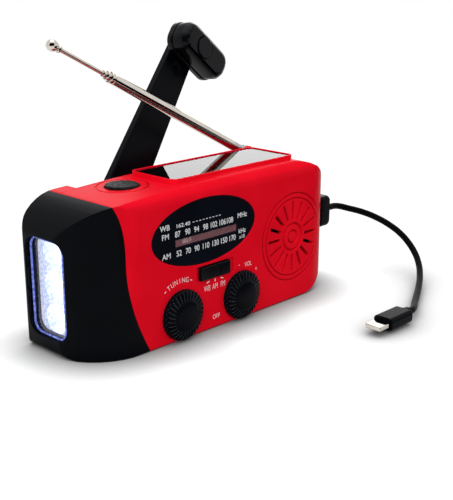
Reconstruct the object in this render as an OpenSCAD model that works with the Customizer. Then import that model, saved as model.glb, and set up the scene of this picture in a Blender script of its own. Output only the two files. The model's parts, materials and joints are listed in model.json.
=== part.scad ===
// Hand-crank emergency radio: solar panel, end lamp, dial, speaker, telescopic antenna and charging lead.
// Millimetres, +Z up. The origin is the middle of the base, +X runs to the speaker end, +Y to the crank.

/* [Body] */
// Length from the lamp face to the speaker end
body_l = 134.4; // [128:0.2:144]
// Depth from the front face to the back face
body_d = 38.8; // [38:0.2:44]
// Height of the case without the solar rim
body_h = 58.2; // [58:0.2:64]
// Wall of the moulded case
wall = 2; // [1.6:0.1:2.4]
// Plan radius of the front upright at the speaker end
front_r = 17; // [8:0.5:17]
// Plan radius of the front upright at the lamp end
lamp_front_r = 24; // [14:0.5:24]
// Plan radius of the two back uprights
back_r = 4; // [3:0.5:8]
// Radius of the long edge along the top of the front
front_edge_r = 6; // [3:0.1:6.4]
// Radius of the long edge along the top of the back
edge_r = 3.5; // [2.5:0.1:5]
// Radius of the long edges along the base
foot_edge_r = 1; // [0.6:0.1:2.5]
// Large radius over the speaker end
speaker_corner_r = 23; // [16:0.5:26]
// Radius over the lamp end
lamp_corner_r = 15; // [10:0.5:18]
// Radius of the foot of the lamp end
lamp_foot_r = 3; // [2.5:0.5:9]
// Radius of the foot of the speaker end
speaker_foot_r = 22; // [12:0.5:24]
// Swell of the lamp face
lamp_swell = 1; // [0:0.1:4]
// Swell of the speaker end
speaker_swell = 1.6; // [0:0.1:3]
// Fall of the top towards the ends
crown = 2.2; // [0:0.1:3]
// Depth of the separate back cover
cover_d = 7.1; // [6.8:0.1:8]

/* [Lamp end] */
// Distance of the cap joint from the lamp face at mid height
cap_l = 18.1; // [16:0.1:20]
// How far the joint sweeps back along the base
cap_sweep = 9.6; // [4:0.1:11]
// How far the joint leans to the lamp at the top
cap_lean = 5.4; // [2:0.1:7]
// Width of the lamp window
window_w = 20; // [14:0.5:21]
// Height of the lamp window
window_h = 37; // [28:0.5:40]
// Corner radius of the window
window_r = 5; // [2:0.5:8]
// Sideways place of the window
window_y = 5.6; // [2:0.1:6]
// Height of the window's middle
window_z = 24.6; // [22:0.1:28]
// Thickness of the clear lens
lens_t = 1.6; // [1:0.1:2.2]
// Number of lamp diodes
led_count = 3; // [2:1:3]
// Diameter of a lamp diode
led_d = 5; // [3:0.5:6]

/* [Speaker] */
// Middle of the speaker from the speaker end
speaker_in = 28.6; // [27:0.1:32]
// Height of the speaker's middle
speaker_z = 27.2; // [24:0.1:32]
// Radius of the outer ring of the grille
grille_r = 18.6; // [15:0.1:20]
// Number of grille slots
grille_slots = 16; // [8:4:24]
// Radius of the speaker frame
speaker_r = 17.4; // [14:0.1:18]
// Radius of the speaker magnet
magnet_r = 9.5; // [6:0.1:10]

/* [Dial] */
// Middle of the dial from the lamp face
dial_in = 56; // [54:0.1:58]
// Height of the dial's middle
dial_z = 40; // [39:0.1:42]
// Length of the oval dial
dial_l = 53.6; // [44:0.2:56]
// Height of the oval dial
dial_h = 25; // [18:0.2:26]
// Thickness of the dial plate
dial_t = 1; // [0.8:0.1:1.2]
// Length of the pointer window
slot_l = 31.8; // [30:0.1:33]
// Height of the pointer window
slot_h = 2.6; // [2:0.1:3.4]
// Drop of the pointer window below the dial's middle
slot_drop = 2.2; // [0:0.1:3]
// Pointer from the window's middle at rest
pointer_x = -8.3; // [-9:0.1:-7]

/* [Controls] */
// Radius of the two knobs
knob_r = 9.8; // [8:0.1:10]
// How far the knobs stand out
knob_h = 3.8; // [3:0.1:5]
// Height of the knobs' middle
knob_z = 10.3; // [10.1:0.1:11]
// Tuning knob from the lamp face
tuning_in = 43.1; // [42:0.1:44]
// Volume knob from the tuning knob
knob_pitch = 31.5; // [30:0.1:33]
// Number of finger ridges
knob_ridges = 36; // [24:2:48]
// Radius of the knob shafts
shaft_r = 3; // [2:0.1:3.4]
// Length of the band switch recess
switch_l = 19.9; // [18:0.1:21]
// Height of the band switch recess
switch_h = 5.8; // [5:0.1:6]
// Height of the band switch's middle
switch_z = 23.5; // [23:0.1:24]
// Length of the band slider
slider_l = 15.4; // [14:0.1:15.6]
// Lamp button from the lamp face
button_in = 34.1; // [30:0.1:36]
// Radius of the lamp button
button_r = 6.4; // [5:0.1:7]
// Sideways place of the lamp button
button_y = 1.8; // [0:0.1:2]
// Travel of the lamp button
button_travel = 1.2; // [0.8:0.1:1.4]

/* [Solar panel] */
// Length of the raised rim
rim_l = 67.6; // [60:0.2:70]
// Width of the raised rim
rim_w = 24.8; // [22:0.2:24.8]
// Rim's middle from the speaker end
rim_in = 54.6; // [53:0.1:57]
// Height of the rim above the case
rim_h = 1.3; // [0.8:0.1:2]
// Width of the rim's wall
rim_t = 0.8; // [0.6:0.1:2.6]
// Thickness of the solar cell
cell_t = 1.2; // [0.8:0.1:1.4]
// Thickness of its clear cover
cell_cover_t = 1.1; // [0.8:0.1:1.4]

/* [Crank] */
// Crank axis from the lamp face
hub_in = 47.8; // [46:0.1:52]
// Height of the crank axis
hub_z = 40; // [38.6:0.1:40.6]
// Lean of the raised arm from upright
arm_lean = 39; // [30:1:45]
// Outward tilt of the raised arm
arm_tilt = 8; // [7:0.5:14]
// Arm's length from hinge to grip pin
arm_l = 78; // [70:0.5:80]
// Arm's width at the hinge
arm_w = 20; // [19.6:0.1:22]
// Arm's width at the grip
arm_tip_w = 13.7; // [11:0.1:15]
// Thickness of the arm
arm_t = 3.4; // [3:0.1:4]
// Radius of the hub disc
hub_r = 12.5; // [11:0.1:14]
// Thickness of the hub disc
hub_t = 2.4; // [2:0.1:3]
// Hinge pin height over the back face
hinge_out = 5.5; // [5.4:0.1:6.4]
// Radius of the hinge pin
hinge_r = 1.2; // [1:0.05:1.4]
// Radius of the crank axle
axle_r = 2.5; // [2:0.1:3]
// Length of the grip block
grip_l = 29.6; // [26:0.2:32]
// Width of the grip block
grip_w = 13.6; // [12:0.1:15]
// Depth of the grip block
grip_d = 11; // [9:0.1:12]
// Grip's middle from its pin
grip_offset = 2.2; // [0:0.1:3]
// Radius of the grip pin
grip_pin_r = 2; // [1.5:0.1:2.5]

/* [Gear train] */
// Teeth of the drive gear
drive_teeth = 48; // [48:4:52]
// Teeth of the idler's pinion
idler_pinion_teeth = 12; // [12:1:13]
// Module of the first pair
first_module = 0.6; // [0.58:0.01:0.61]
// Teeth of the idler's wheel
idler_teeth = 40; // [38:2:42]
// Teeth of the rotor's pinion
rotor_teeth = 10; // [10:1:11]
// Module of the second pair
second_module = 0.5; // [0.48:0.01:0.52]
// Width of a gear
gear_t = 2.4; // [2:0.1:2.6]
// Radius of the generator
generator_r = 9.4; // [8:0.1:9.8]
// Length of the generator
generator_l = 12; // [10:0.1:12.4]

/* [Antenna] */
// Pivot from the speaker end
antenna_in = 20.9; // [19:0.1:24]
// Rise of the antenna from level
antenna_rise = 27.6; // [20:0.2:40]
// Radius of the outer tube
antenna_r = 2.3; // [2:0.05:2.4]
// Wall of the tubes
antenna_wall = 0.4; // [0.35:0.01:0.42]
// Length of the outer tube from the pivot
antenna_l = 81.2; // [70:0.2:84]
// How far each inner tube's collar shows
collar_l = 3.4; // [2:0.1:5]
// How far the tip rod is drawn out
rod_out = 21; // [10:0.5:26]
// Radius of the tip
tip_r = 2.7; // [2:0.1:3]

/* [Inside] */
// Radius of the battery cell
battery_r = 9; // [7:0.1:9]
// Length of the battery cell
battery_l = 48; // [44:0.5:50]
// Radius of the ferrite rod
ferrite_r = 4; // [3:0.1:4]
// Length of the ferrite rod
ferrite_l = 40; // [34:0.5:40]
// Thickness of the circuit board
board_t = 1.6; // [1:0.1:1.6]
// Gap from the front face to the circuit board
board_in = 9.9; // [9.8:0.1:10.2]
// Radius of a case screw
screw_r = 1.3; // [1:0.1:1.5]
// Radius of a case screw's head
screw_head_r = 2.5; // [2.2:0.1:2.7]

/* [Lead] */
// Diameter of the charging lead
lead_d = 2.8; // [2.4:0.1:3.2]
// Width of the plug body
plug_w = 13.5; // [13:0.1:15]
// Thickness of the plug body
plug_t = 8; // [7:0.1:8.4]
// Length of the plug body outside the case
plug_l = 7.6; // [6:0.1:11.6]
// Height of the socket's middle
socket_z = 30.2; // [29:0.1:32]
// Socket's middle from the front face
socket_in = 12.6; // [12.4:0.1:13]

/* [Fits] */
// Radial clearance of a turning shaft
run_gap = 0.05; // [0.02:0.01:0.08]
// Clearance of a fixed push fit
seat_gap = 0.02; // [0.01:0.01:0.05]
// Clearance between moving faces
move_gap = 0.3; // [0.25:0.01:0.4]

/* [Hidden] */
$fn = 48;

// Colours as seen
red = "#d81428";
black = "#17171b";
chrome = "#c8c8cc";
steel = "#9a9aa0";
clear_plastic = "#cfe0ee";
board_green = "#1f5a35";
brass = "#b9923e";
white_plastic = "#e6e6e2";

// Planes of the case
left = -body_l / 2;
right = body_l / 2;
front = -body_d / 2;
back = body_d / 2;
inner_front = front + wall;
inner_back = back - wall;
cover_y = back - cover_d;
rim_x = right - rim_in;
far = body_l;

// How far a cut runs past the face it opens, and how far two shapes of one piece lap
cut = 1;
lap = 0.1;

// Outline of the case seen from the front
arc_steps = 9;
end_steps = 5;
joint_steps = 22;

function arc(cx, cy, r, a0, a1) =
    [for (i = [0:arc_steps]) let (a = a0 + (a1 - a0) * i / arc_steps) [cx + r * cos(a), cy + r * sin(a)]];

function run(p, q) = [for (i = [1:end_steps - 1]) p + (q - p) * i / end_steps];

function rounded_outline(x0, y0, x1, y1, r) = concat(
    arc(x1 - r, y0 + r, r, -90, 0), arc(x1 - r, y1 - r, r, 0, 90),
    arc(x0 + r, y1 - r, r, 90, 180), arc(x0 + r, y0 + r, r, 180, 270));

// Swell of the ends and fall of the top, worked on each point of the straight-sided outline
function swelled(p) = let (
        rise = (p.y - body_h / 2) / (body_h / 2),
        end = p.x < 0 ? -lamp_swell : speaker_swell,
        fall = max(rise, 0) * crown * pow((p.x - rim_x) / (body_l / 2), 2))
    [p.x + end * (1 - rise * rise), p.y - fall];

function case_outline(inset) = let (
        x0 = left + lamp_swell + inset, x1 = right - speaker_swell - inset, z0 = inset, z1 = body_h - inset,
        rs = speaker_corner_r - inset, rl = lamp_corner_r - inset, rf = speaker_foot_r - inset,
        rb = max(lamp_foot_r - inset, lap))
    [for (p = concat(
        arc(x1 - rf, z0 + rf, rf, -90, 0), run([x1, z0 + rf], [x1, z1 - rs]),
        arc(x1 - rs, z1 - rs, rs, 0, 90),
        run([x1 - rs, z1], [x0 + rl, z1]), arc(x0 + rl, z1 - rl, rl, 90, 180),
        run([x0, z1 - rl], [x0, z0 + rb]), arc(x0 + rb, z0 + rb, rb, 180, 270))) swelled(p)];

function plan_outline(inset) = concat(
    arc(right - inset - (front_r - inset), front + front_r, front_r - inset, -90, 0),
    arc(right - back_r, back - back_r, back_r - inset, 0, 90),
    arc(left + back_r, back - back_r, back_r - inset, 90, 180),
    arc(left + lamp_front_r, front + lamp_front_r, lamp_front_r - inset, 180, 270));

function side_outline(inset) = let (
        r = edge_r - inset / 2, rt = front_edge_r - inset / 2, rf = foot_edge_r,
        y0 = front + inset, y1 = back - inset, z1 = body_h - inset)
    concat(arc(y1 - rf, inset + rf, rf, -90, 0), arc(y1 - r, z1 - r, r, 0, 90),
        arc(y0 + rt, z1 - rt, rt, 90, 180), arc(y0 + rf, inset + rf, rf, 180, 270));

// Top of the case at a place along it
function top_at(x) = swelled([x, body_h]).y;

// Stands a flat drawing upright, facing the front, from one depth to another
module upright(y0, y1) {
    translate([0, y1, 0]) rotate([90, 0, 0]) linear_extrude(y1 - y0) children();
}

// A round bar along +Y
module bar_y(x, z, y0, y1, r) {
    translate([x, y0, z]) rotate([-90, 0, 0]) cylinder(r = r, h = y1 - y0);
}

// A round bar along +X
module bar_x(x0, x1, y, z, r) {
    translate([x0, y, z]) rotate([0, 90, 0]) cylinder(r = r, h = x1 - x0);
}

module block(x0, x1, y0, y1, z0, z1) {
    translate([x0, y0, z0]) cube([x1 - x0, y1 - y0, z1 - z0]);
}

module case_block(inset) {
    intersection() {
        upright(front - cut, back + cut) polygon(case_outline(inset));
        translate([0, 0, -cut]) linear_extrude(body_h + 2 * cut) polygon(plan_outline(inset));
        rotate([90, 0, 90]) translate([0, 0, -far]) linear_extrude(2 * far) polygon(side_outline(inset));
    }
}

module case_wall() {
    difference() {
        case_block(0);
        case_block(wall);
    }
}

// Joint between the lamp cap and the red case, as a line seen from the front
joint_x = left + cap_l;
joint_z = 34;
sweep_power = 1.9;
lean_power = 3;

function joint_at(z) = z < joint_z
    ? joint_x + cap_sweep * pow((joint_z - z) / joint_z, sweep_power)
    : joint_x - cap_lean * pow((z - joint_z) / (body_h - joint_z), lean_power);

function joint_line(shift) =
    [for (i = [0:joint_steps]) let (z = body_h * i / joint_steps) [joint_at(z) + shift, z]];

module lamp_side(shift) {
    upright(front - cut, back + cut)
        polygon(concat([[-far, -cut], [joint_at(0) + shift, -cut]], joint_line(shift),
            [[joint_at(body_h) + shift, body_h + cut], [-far, body_h + cut]]));
}

// Places on the front face
speaker_x = right - speaker_in;
dial_x = left + dial_in;
slot_shift = 0.7;
slot_x = dial_x + slot_shift;
slot_z = dial_z - slot_drop;
tuning_x = left + tuning_in;
volume_x = tuning_x + knob_pitch;
switch_shift = 2.1;
switch_x = (tuning_x + volume_x) / 2 + switch_shift;
slider_shift = 0.55;
slider_x = switch_x - slider_shift;
button_x = left + button_in;
dial_sunk = 0.2;
dial_floor = front + dial_t + dial_sunk;
oval_steps = 72;

module dial_oval(grow) {
    polygon([for (i = [0:oval_steps - 1]) let (a = i * 360 / oval_steps)
        [dial_x + (dial_l / 2 + grow) * cos(a), dial_z + (dial_h / 2 + grow) * sin(a)]]);
}

module slot_hole(y0, y1, grow) {
    block(slot_x - slot_l / 2 - grow, slot_x + slot_l / 2 + grow, y0, y1, slot_z - slot_h / 2 - grow,
        slot_z + slot_h / 2 + grow);
}

// Solar panel
rim_y = -0.4;
rim_top = body_h + rim_h;
cover_sunk = 0.4;
cover_top = rim_top - cover_sunk;
cell_z = cover_top - cell_cover_t - cell_t;
rim_r = 3;
rim_floor = 1.6;
rim_ledge = 2;

module rim_box(inset, z0, z1) {
    translate([0, 0, z0]) linear_extrude(z1 - z0) polygon(rounded_outline(rim_x - rim_l / 2 + inset,
        rim_y - rim_w / 2 + inset, rim_x + rim_l / 2 - inset, rim_y + rim_w / 2 - inset,
        rim_r - inset / 2));
}

// Crank frame: the hinge is the origin, the arm runs up, the back face lies towards -Y
hub_x = left + hub_in;
hinge_y = back + hinge_out;

module on_hub() {
    translate([hub_x, hinge_y, hub_z]) rotate([0, arm_lean, 0]) children();
}

module on_arm() {
    on_hub() rotate([-arm_tilt, 0, 0]) children();
}

hub_top = move_gap + hub_t - hinge_out;
knuckle_r = -hub_top - move_gap;
knuckle_w = 12.4;
ear_x0 = knuckle_w / 2 + move_gap;
ear_x1 = arm_w / 2 - lap;
ear_r = knuckle_r + 0.4;
arm_start = ear_r + 0.8;

// Grip, seen in the arm's frame: it lies on the arm's inner face
grip_y0 = -arm_t / 2 - move_gap;
grip_y1 = grip_y0 - grip_d;
rear_share = 0.32;
grip_seam = grip_y0 - grip_d * rear_share;
corner_share = 0.4;
grip_corner = grip_w * corner_share;
pin_head_r = 4.2;
pin_head_t = 1;
pin_head_sunk = 0.4;

// The pocket in the back that takes the folded grip
pocket_side_gap = 1.2;
pocket_end_gap = 1.4;
pocket_floor_gap = 1;
pocket_x0 = hub_x + arm_l - grip_w / 2 - pocket_side_gap;
pocket_z0 = hub_z - grip_offset - grip_l / 2 - pocket_end_gap;
pocket_z1 = hub_z - grip_offset + grip_l / 2 + pocket_end_gap;
pocket_y = hinge_y + grip_y1 - pocket_floor_gap;
pocket_wall = 1.6;

// Antenna: the pivot lies in a channel along the top back edge
antenna_x = right - antenna_in;
pivot_in = 3;
pivot_drop = 1.2;
antenna_y = back - pivot_in;
antenna_z = body_h - pivot_drop;
channel_side_gap = 0.4;
channel_floor_gap = 0.5;
channel_end_gap = 1.5;
channel_front = antenna_y - max(antenna_r, tip_r) - channel_side_gap;
channel_floor = antenna_z - max(antenna_r, tip_r) - channel_floor_gap;
lug_y = antenna_y - antenna_r - move_gap;
channel_x0 = antenna_x - antenna_l - collar_l - 2 * tip_r - channel_end_gap;
pivot_r = antenna_r + 0.4;
pivot_pin_r = 1.4;
lug_wall = 1.2;
lug_r = pivot_pin_r + lug_wall;

module on_antenna() {
    translate([antenna_x, antenna_y, antenna_z]) rotate([0, antenna_rise - 90, 0]) children();
}

// Case screws and their posts
low_screw_z = 6.5;
high_screw_z = 49.5;
screws = [[left + 31.2, low_screw_z], [left + 21.8, high_screw_z], [right - 44.2, high_screw_z],
    [right - 41.7, low_screw_z]];
post_wall = 1.6;
post_r = screw_r + post_wall;
screw_head_t = 1.4;
screw_l = 9;
screw_hole_l = 12;

// Board
board_y = front + board_in;
board_end_in = 28;
board_over = 9.4;
board_x0 = left + board_end_in;
board_x1 = volume_x + board_over;
board_z0 = wall + 1.5;
board_z1 = body_h - 5.2;

// Sockets in the speaker end
socket_y = front + socket_in;
socket_w = 12.6;
socket_t = 5.2;
socket_l = 12.4;
socket_x1 = right - wall - 0.2;
charge_z = 18.2;
charge_w = 8.4;
charge_t = 3.4;
charge_l = 6.4;
charge_x1 = right - wall - 2.2;

// Gear train
drive_r = drive_teeth * first_module / 2;
idler_pinion_r = idler_pinion_teeth * first_module / 2;
idler_r = idler_teeth * second_module / 2;
rotor_r = rotor_teeth * second_module / 2;
first_centres = drive_r + idler_pinion_r;
second_centres = idler_r + rotor_r;
idler_angle = -20;
rotor_angle = -8;
idler_x = hub_x + first_centres * cos(idler_angle);
idler_z = hub_z + first_centres * sin(idler_angle);
rotor_x = idler_x + second_centres * cos(rotor_angle);
rotor_z = idler_z + second_centres * sin(rotor_angle);
plate_t = 1.2;
gear_gap = 0.6;
drive_y = cover_y - move_gap - gear_t;
wheel_y = drive_y - gear_gap - gear_t;
plate_y = wheel_y - gear_gap - plate_t;
idler_pin_r = 1.2;
rotor_shaft_r = 0.9;

pressure = 20;
gear_backlash = 0.12;
flank_steps = 3;
function roll(a) = tan(a) * 180 / PI - a;

// One tooth after another, each an involute flank up and one down
function gear_outline(teeth, modul, over, under) = let (
        pitch_r = teeth * modul / 2, base_r = pitch_r * cos(pressure), root_r = pitch_r - under,
        tip = pitch_r + over, start_r = max(base_r, root_r),
        half = 90 / teeth - gear_backlash / pitch_r * 90 / PI,
        flank = [for (k = [0:flank_steps]) let (r = start_r + (tip - start_r) * k / flank_steps)
            [r, half + roll(pressure) - roll(acos(min(1, base_r / r)))]])
    [for (n = [0:teeth - 1]) let (mid = n * 360 / teeth) each concat(
        [[root_r * cos(mid - flank[0][1]), root_r * sin(mid - flank[0][1])]],
        [for (k = [0:flank_steps]) flank[k][0] * [cos(mid - flank[k][1]), sin(mid - flank[k][1])]],
        [for (k = [flank_steps:-1:0]) flank[k][0] * [cos(mid + flank[k][1]), sin(mid + flank[k][1])]],
        [[root_r * cos(mid + flank[0][1]), root_r * sin(mid + flank[0][1])]])];

module gear(x, z, y0, y1, teeth, modul, over, under, turn) {
    translate([x, 0, z]) upright(y0, y1) rotate(turn) polygon(gear_outline(teeth, modul, over, under));
}

wheel_over = 0.62;
wheel_under = 0.95;
pinion_over = 0.72;
pinion_under = 0.78;

// Lead: the route's points, from the plug to the small connector
plug_x0 = right + 0.4;
plug_x1 = plug_x0 + plug_l;
lead_route = [[plug_x1, socket_y, socket_z], [plug_x1 + 2, socket_y, socket_z], [83.4, -7.2, 29.9],
    [88, -10.4, 28.5], [93, -14.8, 26.6], [97.5, -19.2, 24], [101.4, -24, 20.6],
    [103.8, -28.4, 17], [104.6, -32.4, 13.4], [103.4, -36.8, 9.8], [99.6, -41.6, 6.6], [92.6, -47, 4],
    [83, -52.8, 2.6], [72, -58.8, 2.2], [64, -63.2, 2.6], [58.6, -66.4, 3.1], [54.4, -68, 3.5],
    [52, -68, 3.5]];
lead_sides = 8;

function unit(v) = v / norm(v);
function heading(path, i, closed) = let (n = len(path))
    unit(closed ? path[(i + 1) % n] - path[(i + n - 1) % n]
        : path[min(i + 1, n - 1)] - path[max(i - 1, 0)]);

// A tube of flat sides swept along points, open-ended with caps or closed into a loop
module swept_tube(path, r, sides, closed = false) {
    n = len(path);
    aside = closed ? [0, 1, 0] : [0, 0.3, 1];
    rings = [for (i = [0:n - 1])
        let (t = heading(path, i, closed), u = unit(cross(t, aside)), v = cross(t, u))
        each [for (k = [0:sides - 1]) let (a = 360 * k / sides) path[i] + r * (u * cos(a) + v * sin(a))]];
    last = closed ? n - 1 : n - 2;
    skin = [for (i = [0:last], k = [0:sides - 1]) let (j = (i + 1) % n, m = (k + 1) % sides)
        each [[j * sides + m, i * sides + m, i * sides + k],
            [j * sides + k, j * sides + m, i * sides + k]]];
    caps = closed ? [] : [[for (k = [0:sides - 1]) k], [for (k = [sides - 1:-1:0]) (n - 1) * sides + k]];
    polyhedron(rings, concat(skin, caps));
}

// Red tub: front, top, base and speaker end
module front_shell() {
    color(red) difference() {
        union() {
            difference() {
                case_wall();
                lamp_side(0);
                block(-far, far, cover_y, far, -cut, 2 * body_h);
            }
            difference() {
                intersection() {
                    rim_box(0, cell_z - rim_floor, rim_top);
                    block(-far, far, -far, cover_y - lap, 0, 2 * body_h);
                }
                rim_box(rim_t + rim_ledge, 0, cell_z);
            }
            intersection() {
                case_block(wall / 5);
                screw_posts();
            }
            board_posts();
            speaker_ring();
        }
        rim_box(rim_t, cell_z, 2 * body_h);
        upright(front - cut, dial_floor) dial_oval(lap);
        slot_hole(front - cut, inner_front + lap, slot_reveal);
        grille_cuts();
        control_cuts();
        socket_cuts();
        grip_pocket(lap);
        for (s = screws) bar_y(s.x, s.y, cover_y - screw_hole_l, cover_y + cut, screw_r - screw_bite);
    }
}

slot_reveal = 0.4;
screw_bite = 0.05;
post_root = 0.2;

module screw_posts() {
    for (s = screws) bar_y(s.x, s.y, inner_front - post_root, cover_y, post_r);
}

board_post_r = 2;
board_post_in = 2.6;
board_post_x = [board_x0 + 2.4, board_x1 - board_post_in];
board_post_z = [24.5, board_z1 - board_post_r];

module board_posts() {
    for (x = board_post_x, z = board_post_z) bar_y(x, z, inner_front - post_root, board_y, board_post_r);
}

speaker_ring_t = 2;

module speaker_ring() {
    intersection() {
        case_block(wall / 2);
        turned_y(speaker_x, inner_front - post_root, speaker_z)
            translate([speaker_r - speaker_ring_t, 0]) square([speaker_ring_t, speaker_seat + post_root]);
    }
}

// Grille: a band between two round grooves, slots like spokes and two rings in the middle
groove_t = 0.8;
groove_w = 0.6;
band_w = 2.1;
hub_groove_t = 1.3;
hub_groove_w = 0.9;
hub_rings = [5.6, 2.6];
grille_slot_w = 1.3;
grille_slot_r0 = 7.4;
grille_slot_in = 3.8;

module grille_ring(r, w, deep) {
    translate([speaker_x, front + deep, speaker_z]) rotate([90, 0, 0]) difference() {
        cylinder(r = r + w / 2, h = deep + cut);
        translate([0, 0, -cut]) cylinder(r = r - w / 2, h = deep + 3 * cut);
    }
}

module grille_cuts() {
    grille_ring(grille_r - groove_w / 2, groove_w, groove_t);
    grille_ring(grille_r - groove_w / 2 - band_w, groove_w, groove_t);
    for (r = hub_rings) grille_ring(r, hub_groove_w, hub_groove_t);
    for (n = [0:grille_slots - 1])
        translate([speaker_x, 0, speaker_z]) rotate([0, n * 360 / grille_slots, 0])
            block(grille_slot_r0, grille_r - grille_slot_in, front - cut, inner_front + cut,
                -grille_slot_w / 2, grille_slot_w / 2);
}

switch_floor = inner_front - 0.8;
lever_room = 3;
lever_gap = 0.4;
socket_gap = 0.2;
button_ring_in = 2.9;
button_ring_w = 0.6;

module control_cuts() {
    for (x = [tuning_x, volume_x])
        bar_y(x, knob_z, front - cut, inner_front + cut, shaft_r + run_gap);
    slit(front - cut, switch_floor, switch_l, switch_h);
    slit(front - cut, inner_front + cut, lever_w + 2 * lever_room, lever_h + 2 * lever_gap);
    translate([button_x, button_y, body_h / 2]) cylinder(r = button_r + move_gap, h = body_h);
    translate([button_x, button_y, top_at(button_x) - button_ring_w]) difference() {
        cylinder(r = button_r + button_ring_in + button_ring_w, h = body_h);
        translate([0, 0, -cut]) cylinder(r = button_r + button_ring_in, h = 2 * body_h);
    }
}

// A block at the band switch, from one depth to another
module slit(y0, y1, l, h) {
    block(switch_x - l / 2, switch_x + l / 2, y0, y1, switch_z - h / 2, switch_z + h / 2);
}

// A block at the sockets, from one end to another
module socket_block(x0, x1, z, w, t) {
    block(x0, x1, socket_y - t / 2, socket_y + t / 2, z - w / 2, z + w / 2);
}

socket_cut = 8;
charge_cut = 10;

module socket_cuts() {
    socket_block(right - socket_cut, far, socket_z, socket_w + 2 * socket_gap, socket_t + 2 * socket_gap);
    socket_block(right - charge_cut, far, charge_z, charge_w + 2 * socket_gap, charge_t + 2 * socket_gap);
}

module grip_pocket(grow) {
    block(pocket_x0 - grow, far, pocket_y - grow, far, pocket_z0 - grow, pocket_z1 + grow);
}

// Channel for the folded antenna, round the lug that holds its screw
module antenna_channel() {
    difference() {
        block(channel_x0, antenna_x + pivot_r + cut, channel_front, far, channel_floor, 2 * body_h);
        bar_y(antenna_x, antenna_z, cover_y, lug_y, lug_r);
    }
}

channel_wall = 1.8;
bearing_t = 1.2;
bearing_wall = 2.4;
plate_post_r = 2;
screw_gap = 0.15;

// Red back cover with the antenna channel, the grip pocket and the crank bearing
module rear_cover() {
    color(red) difference() {
        union() {
            difference() {
                case_wall();
                lamp_side(0);
                block(-far, far, -far, cover_y, -cut, 2 * body_h);
            }
            intersection() {
                case_block(0);
                block(channel_x0 - wall, antenna_x + pivot_r + cut + wall, cover_y, far,
                    channel_floor - channel_wall, 2 * body_h);
            }
            intersection() {
                case_block(wall);
                block(pocket_x0 - pocket_wall, far, pocket_y - pocket_wall, far, pocket_z0 - pocket_wall,
                    pocket_z1 + pocket_wall);
            }
            bar_y(antenna_x, antenna_z, cover_y, lug_y, lug_r);
            bar_y(hub_x, hub_z, inner_back - bearing_t, inner_back + lap, axle_r + bearing_wall);
            for (p = plate_posts) bar_y(p.x, p.y, plate_y + plate_t, inner_back + lap, plate_post_r);
            for (s = screws) bar_y(s.x, s.y, cover_y, inner_back + lap, post_r);
        }
        antenna_channel();
        bar_y(antenna_x, antenna_z, 0, far, pivot_pin_r + seat_gap);
        grip_pocket(0);
        bar_y(hub_x, hub_z, 0, far, axle_r + run_gap);
        for (s = screws) {
            bar_y(s.x, s.y, 0, far, screw_r + screw_gap);
            bar_y(s.x, s.y, back - screw_head_t - screw_gap, far, screw_head_r + screw_gap);
        }
    }
}

// Black lamp cap with the window in its end and a tongue that plugs into the red case
lens_sunk = 2.4;
land_t = 1.8;
land_w = 1;
lens_x = left + lens_sunk;
land_x = lens_x + lens_t + land_t;
tongue_l = 3;
tongue_t = 1.2;
tongue_z = 5;
frame_w = 3;

module window_shape(grow) {
    polygon(rounded_outline(window_y - window_w / 2 - grow, window_z - window_h / 2 - grow,
        window_y + window_w / 2 + grow, window_z + window_h / 2 + grow, window_r + grow));
}

module along_x(x0, x1) {
    translate([x0, 0, 0]) rotate([90, 0, 90]) linear_extrude(x1 - x0) children();
}

// A band inside the case wall, from under the cap to a shift past the joint
module tongue_ring(inset, shift) {
    intersection() {
        difference() {
            case_block(inset);
            case_block(wall + lap + tongue_t);
        }
        lamp_side(shift);
        block(-far, far, -far, cover_y - cut, 0, body_h);
        block(joint_x - cap_lean - cut, far, -far, far, tongue_z, body_h);
    }
}

module lamp_cap() {
    color(black) difference() {
        union() {
            intersection() {
                union() {
                    case_wall();
                    intersection() {
                        case_block(wall / 2);
                        along_x(left - cut, land_x) window_shape(frame_w);
                    }
                }
                lamp_side(-seat_gap);
            }
            tongue_ring(wall + lap, tongue_l);
            tongue_ring(wall - lap, -seat_gap);
        }
        along_x(left - cut, lens_x + lens_t) window_shape(0);
        along_x(left - cut, land_x + cut) window_shape(-land_w);
        for (s = screws) bar_y(s.x, s.y, front, back, post_r + move_gap);
    }
}

module lamp_lens() {
    color(clear_plastic) along_x(lens_x, lens_x + lens_t) window_shape(-lap);
}

reflector_d = 8.6;
flange_t = 1.2;
flange_w = 1.6;
reflector_in = 0.6;
bowl_wall = 0.5;
reflector_x = land_x + flange_t;
led_pitch = window_h / led_count;
led_l = 3;
led_gap = 0.3;
function led_z(n) = window_z + (n - (led_count - 1) / 2) * led_pitch;
bowl_r = min(led_pitch, window_w) / 2 - bowl_wall;

// Bright block with one bowl for each diode
module lamp_reflector() {
    color(chrome) difference() {
        union() {
            along_x(land_x, reflector_x) window_shape(flange_w);
            along_x(reflector_x, reflector_x + reflector_d) window_shape(-reflector_in);
        }
        for (n = [0:led_count - 1]) translate([land_x - 0.01, window_y, led_z(n)]) rotate([0, 90, 0]) {
            cylinder(r1 = bowl_r, r2 = led_d / 2 + 2 * led_gap, h = reflector_d);
            cylinder(r = led_d / 2 + led_gap, h = 2 * reflector_d);
        }
    }
}

led_board_x = reflector_x + reflector_d;

module lamp_leds() {
    color(white_plastic) for (n = [0:led_count - 1])
        translate([led_board_x, window_y, led_z(n)]) rotate([0, -90, 0]) {
            cylinder(r = led_d / 2, h = led_l);
            translate([0, 0, led_l]) sphere(r = led_d / 2 - 0.01);
        }
}

led_board_in = 0.8;

module led_board() {
    color(board_green) translate([led_board_x, window_y - window_w / 2 + led_board_in,
        window_z - window_h / 2 + led_board_in])
        cube([board_t, window_w - 2 * led_board_in, window_h - 2 * led_board_in]);
}

module solar_cell() {
    color("#14141c") rim_box(rim_t + lap, cell_z, cell_z + cell_t);
}

module solar_cover() {
    color("#2a2c34") rim_box(rim_t + lap, cell_z + cell_t, cover_top);
}

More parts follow.
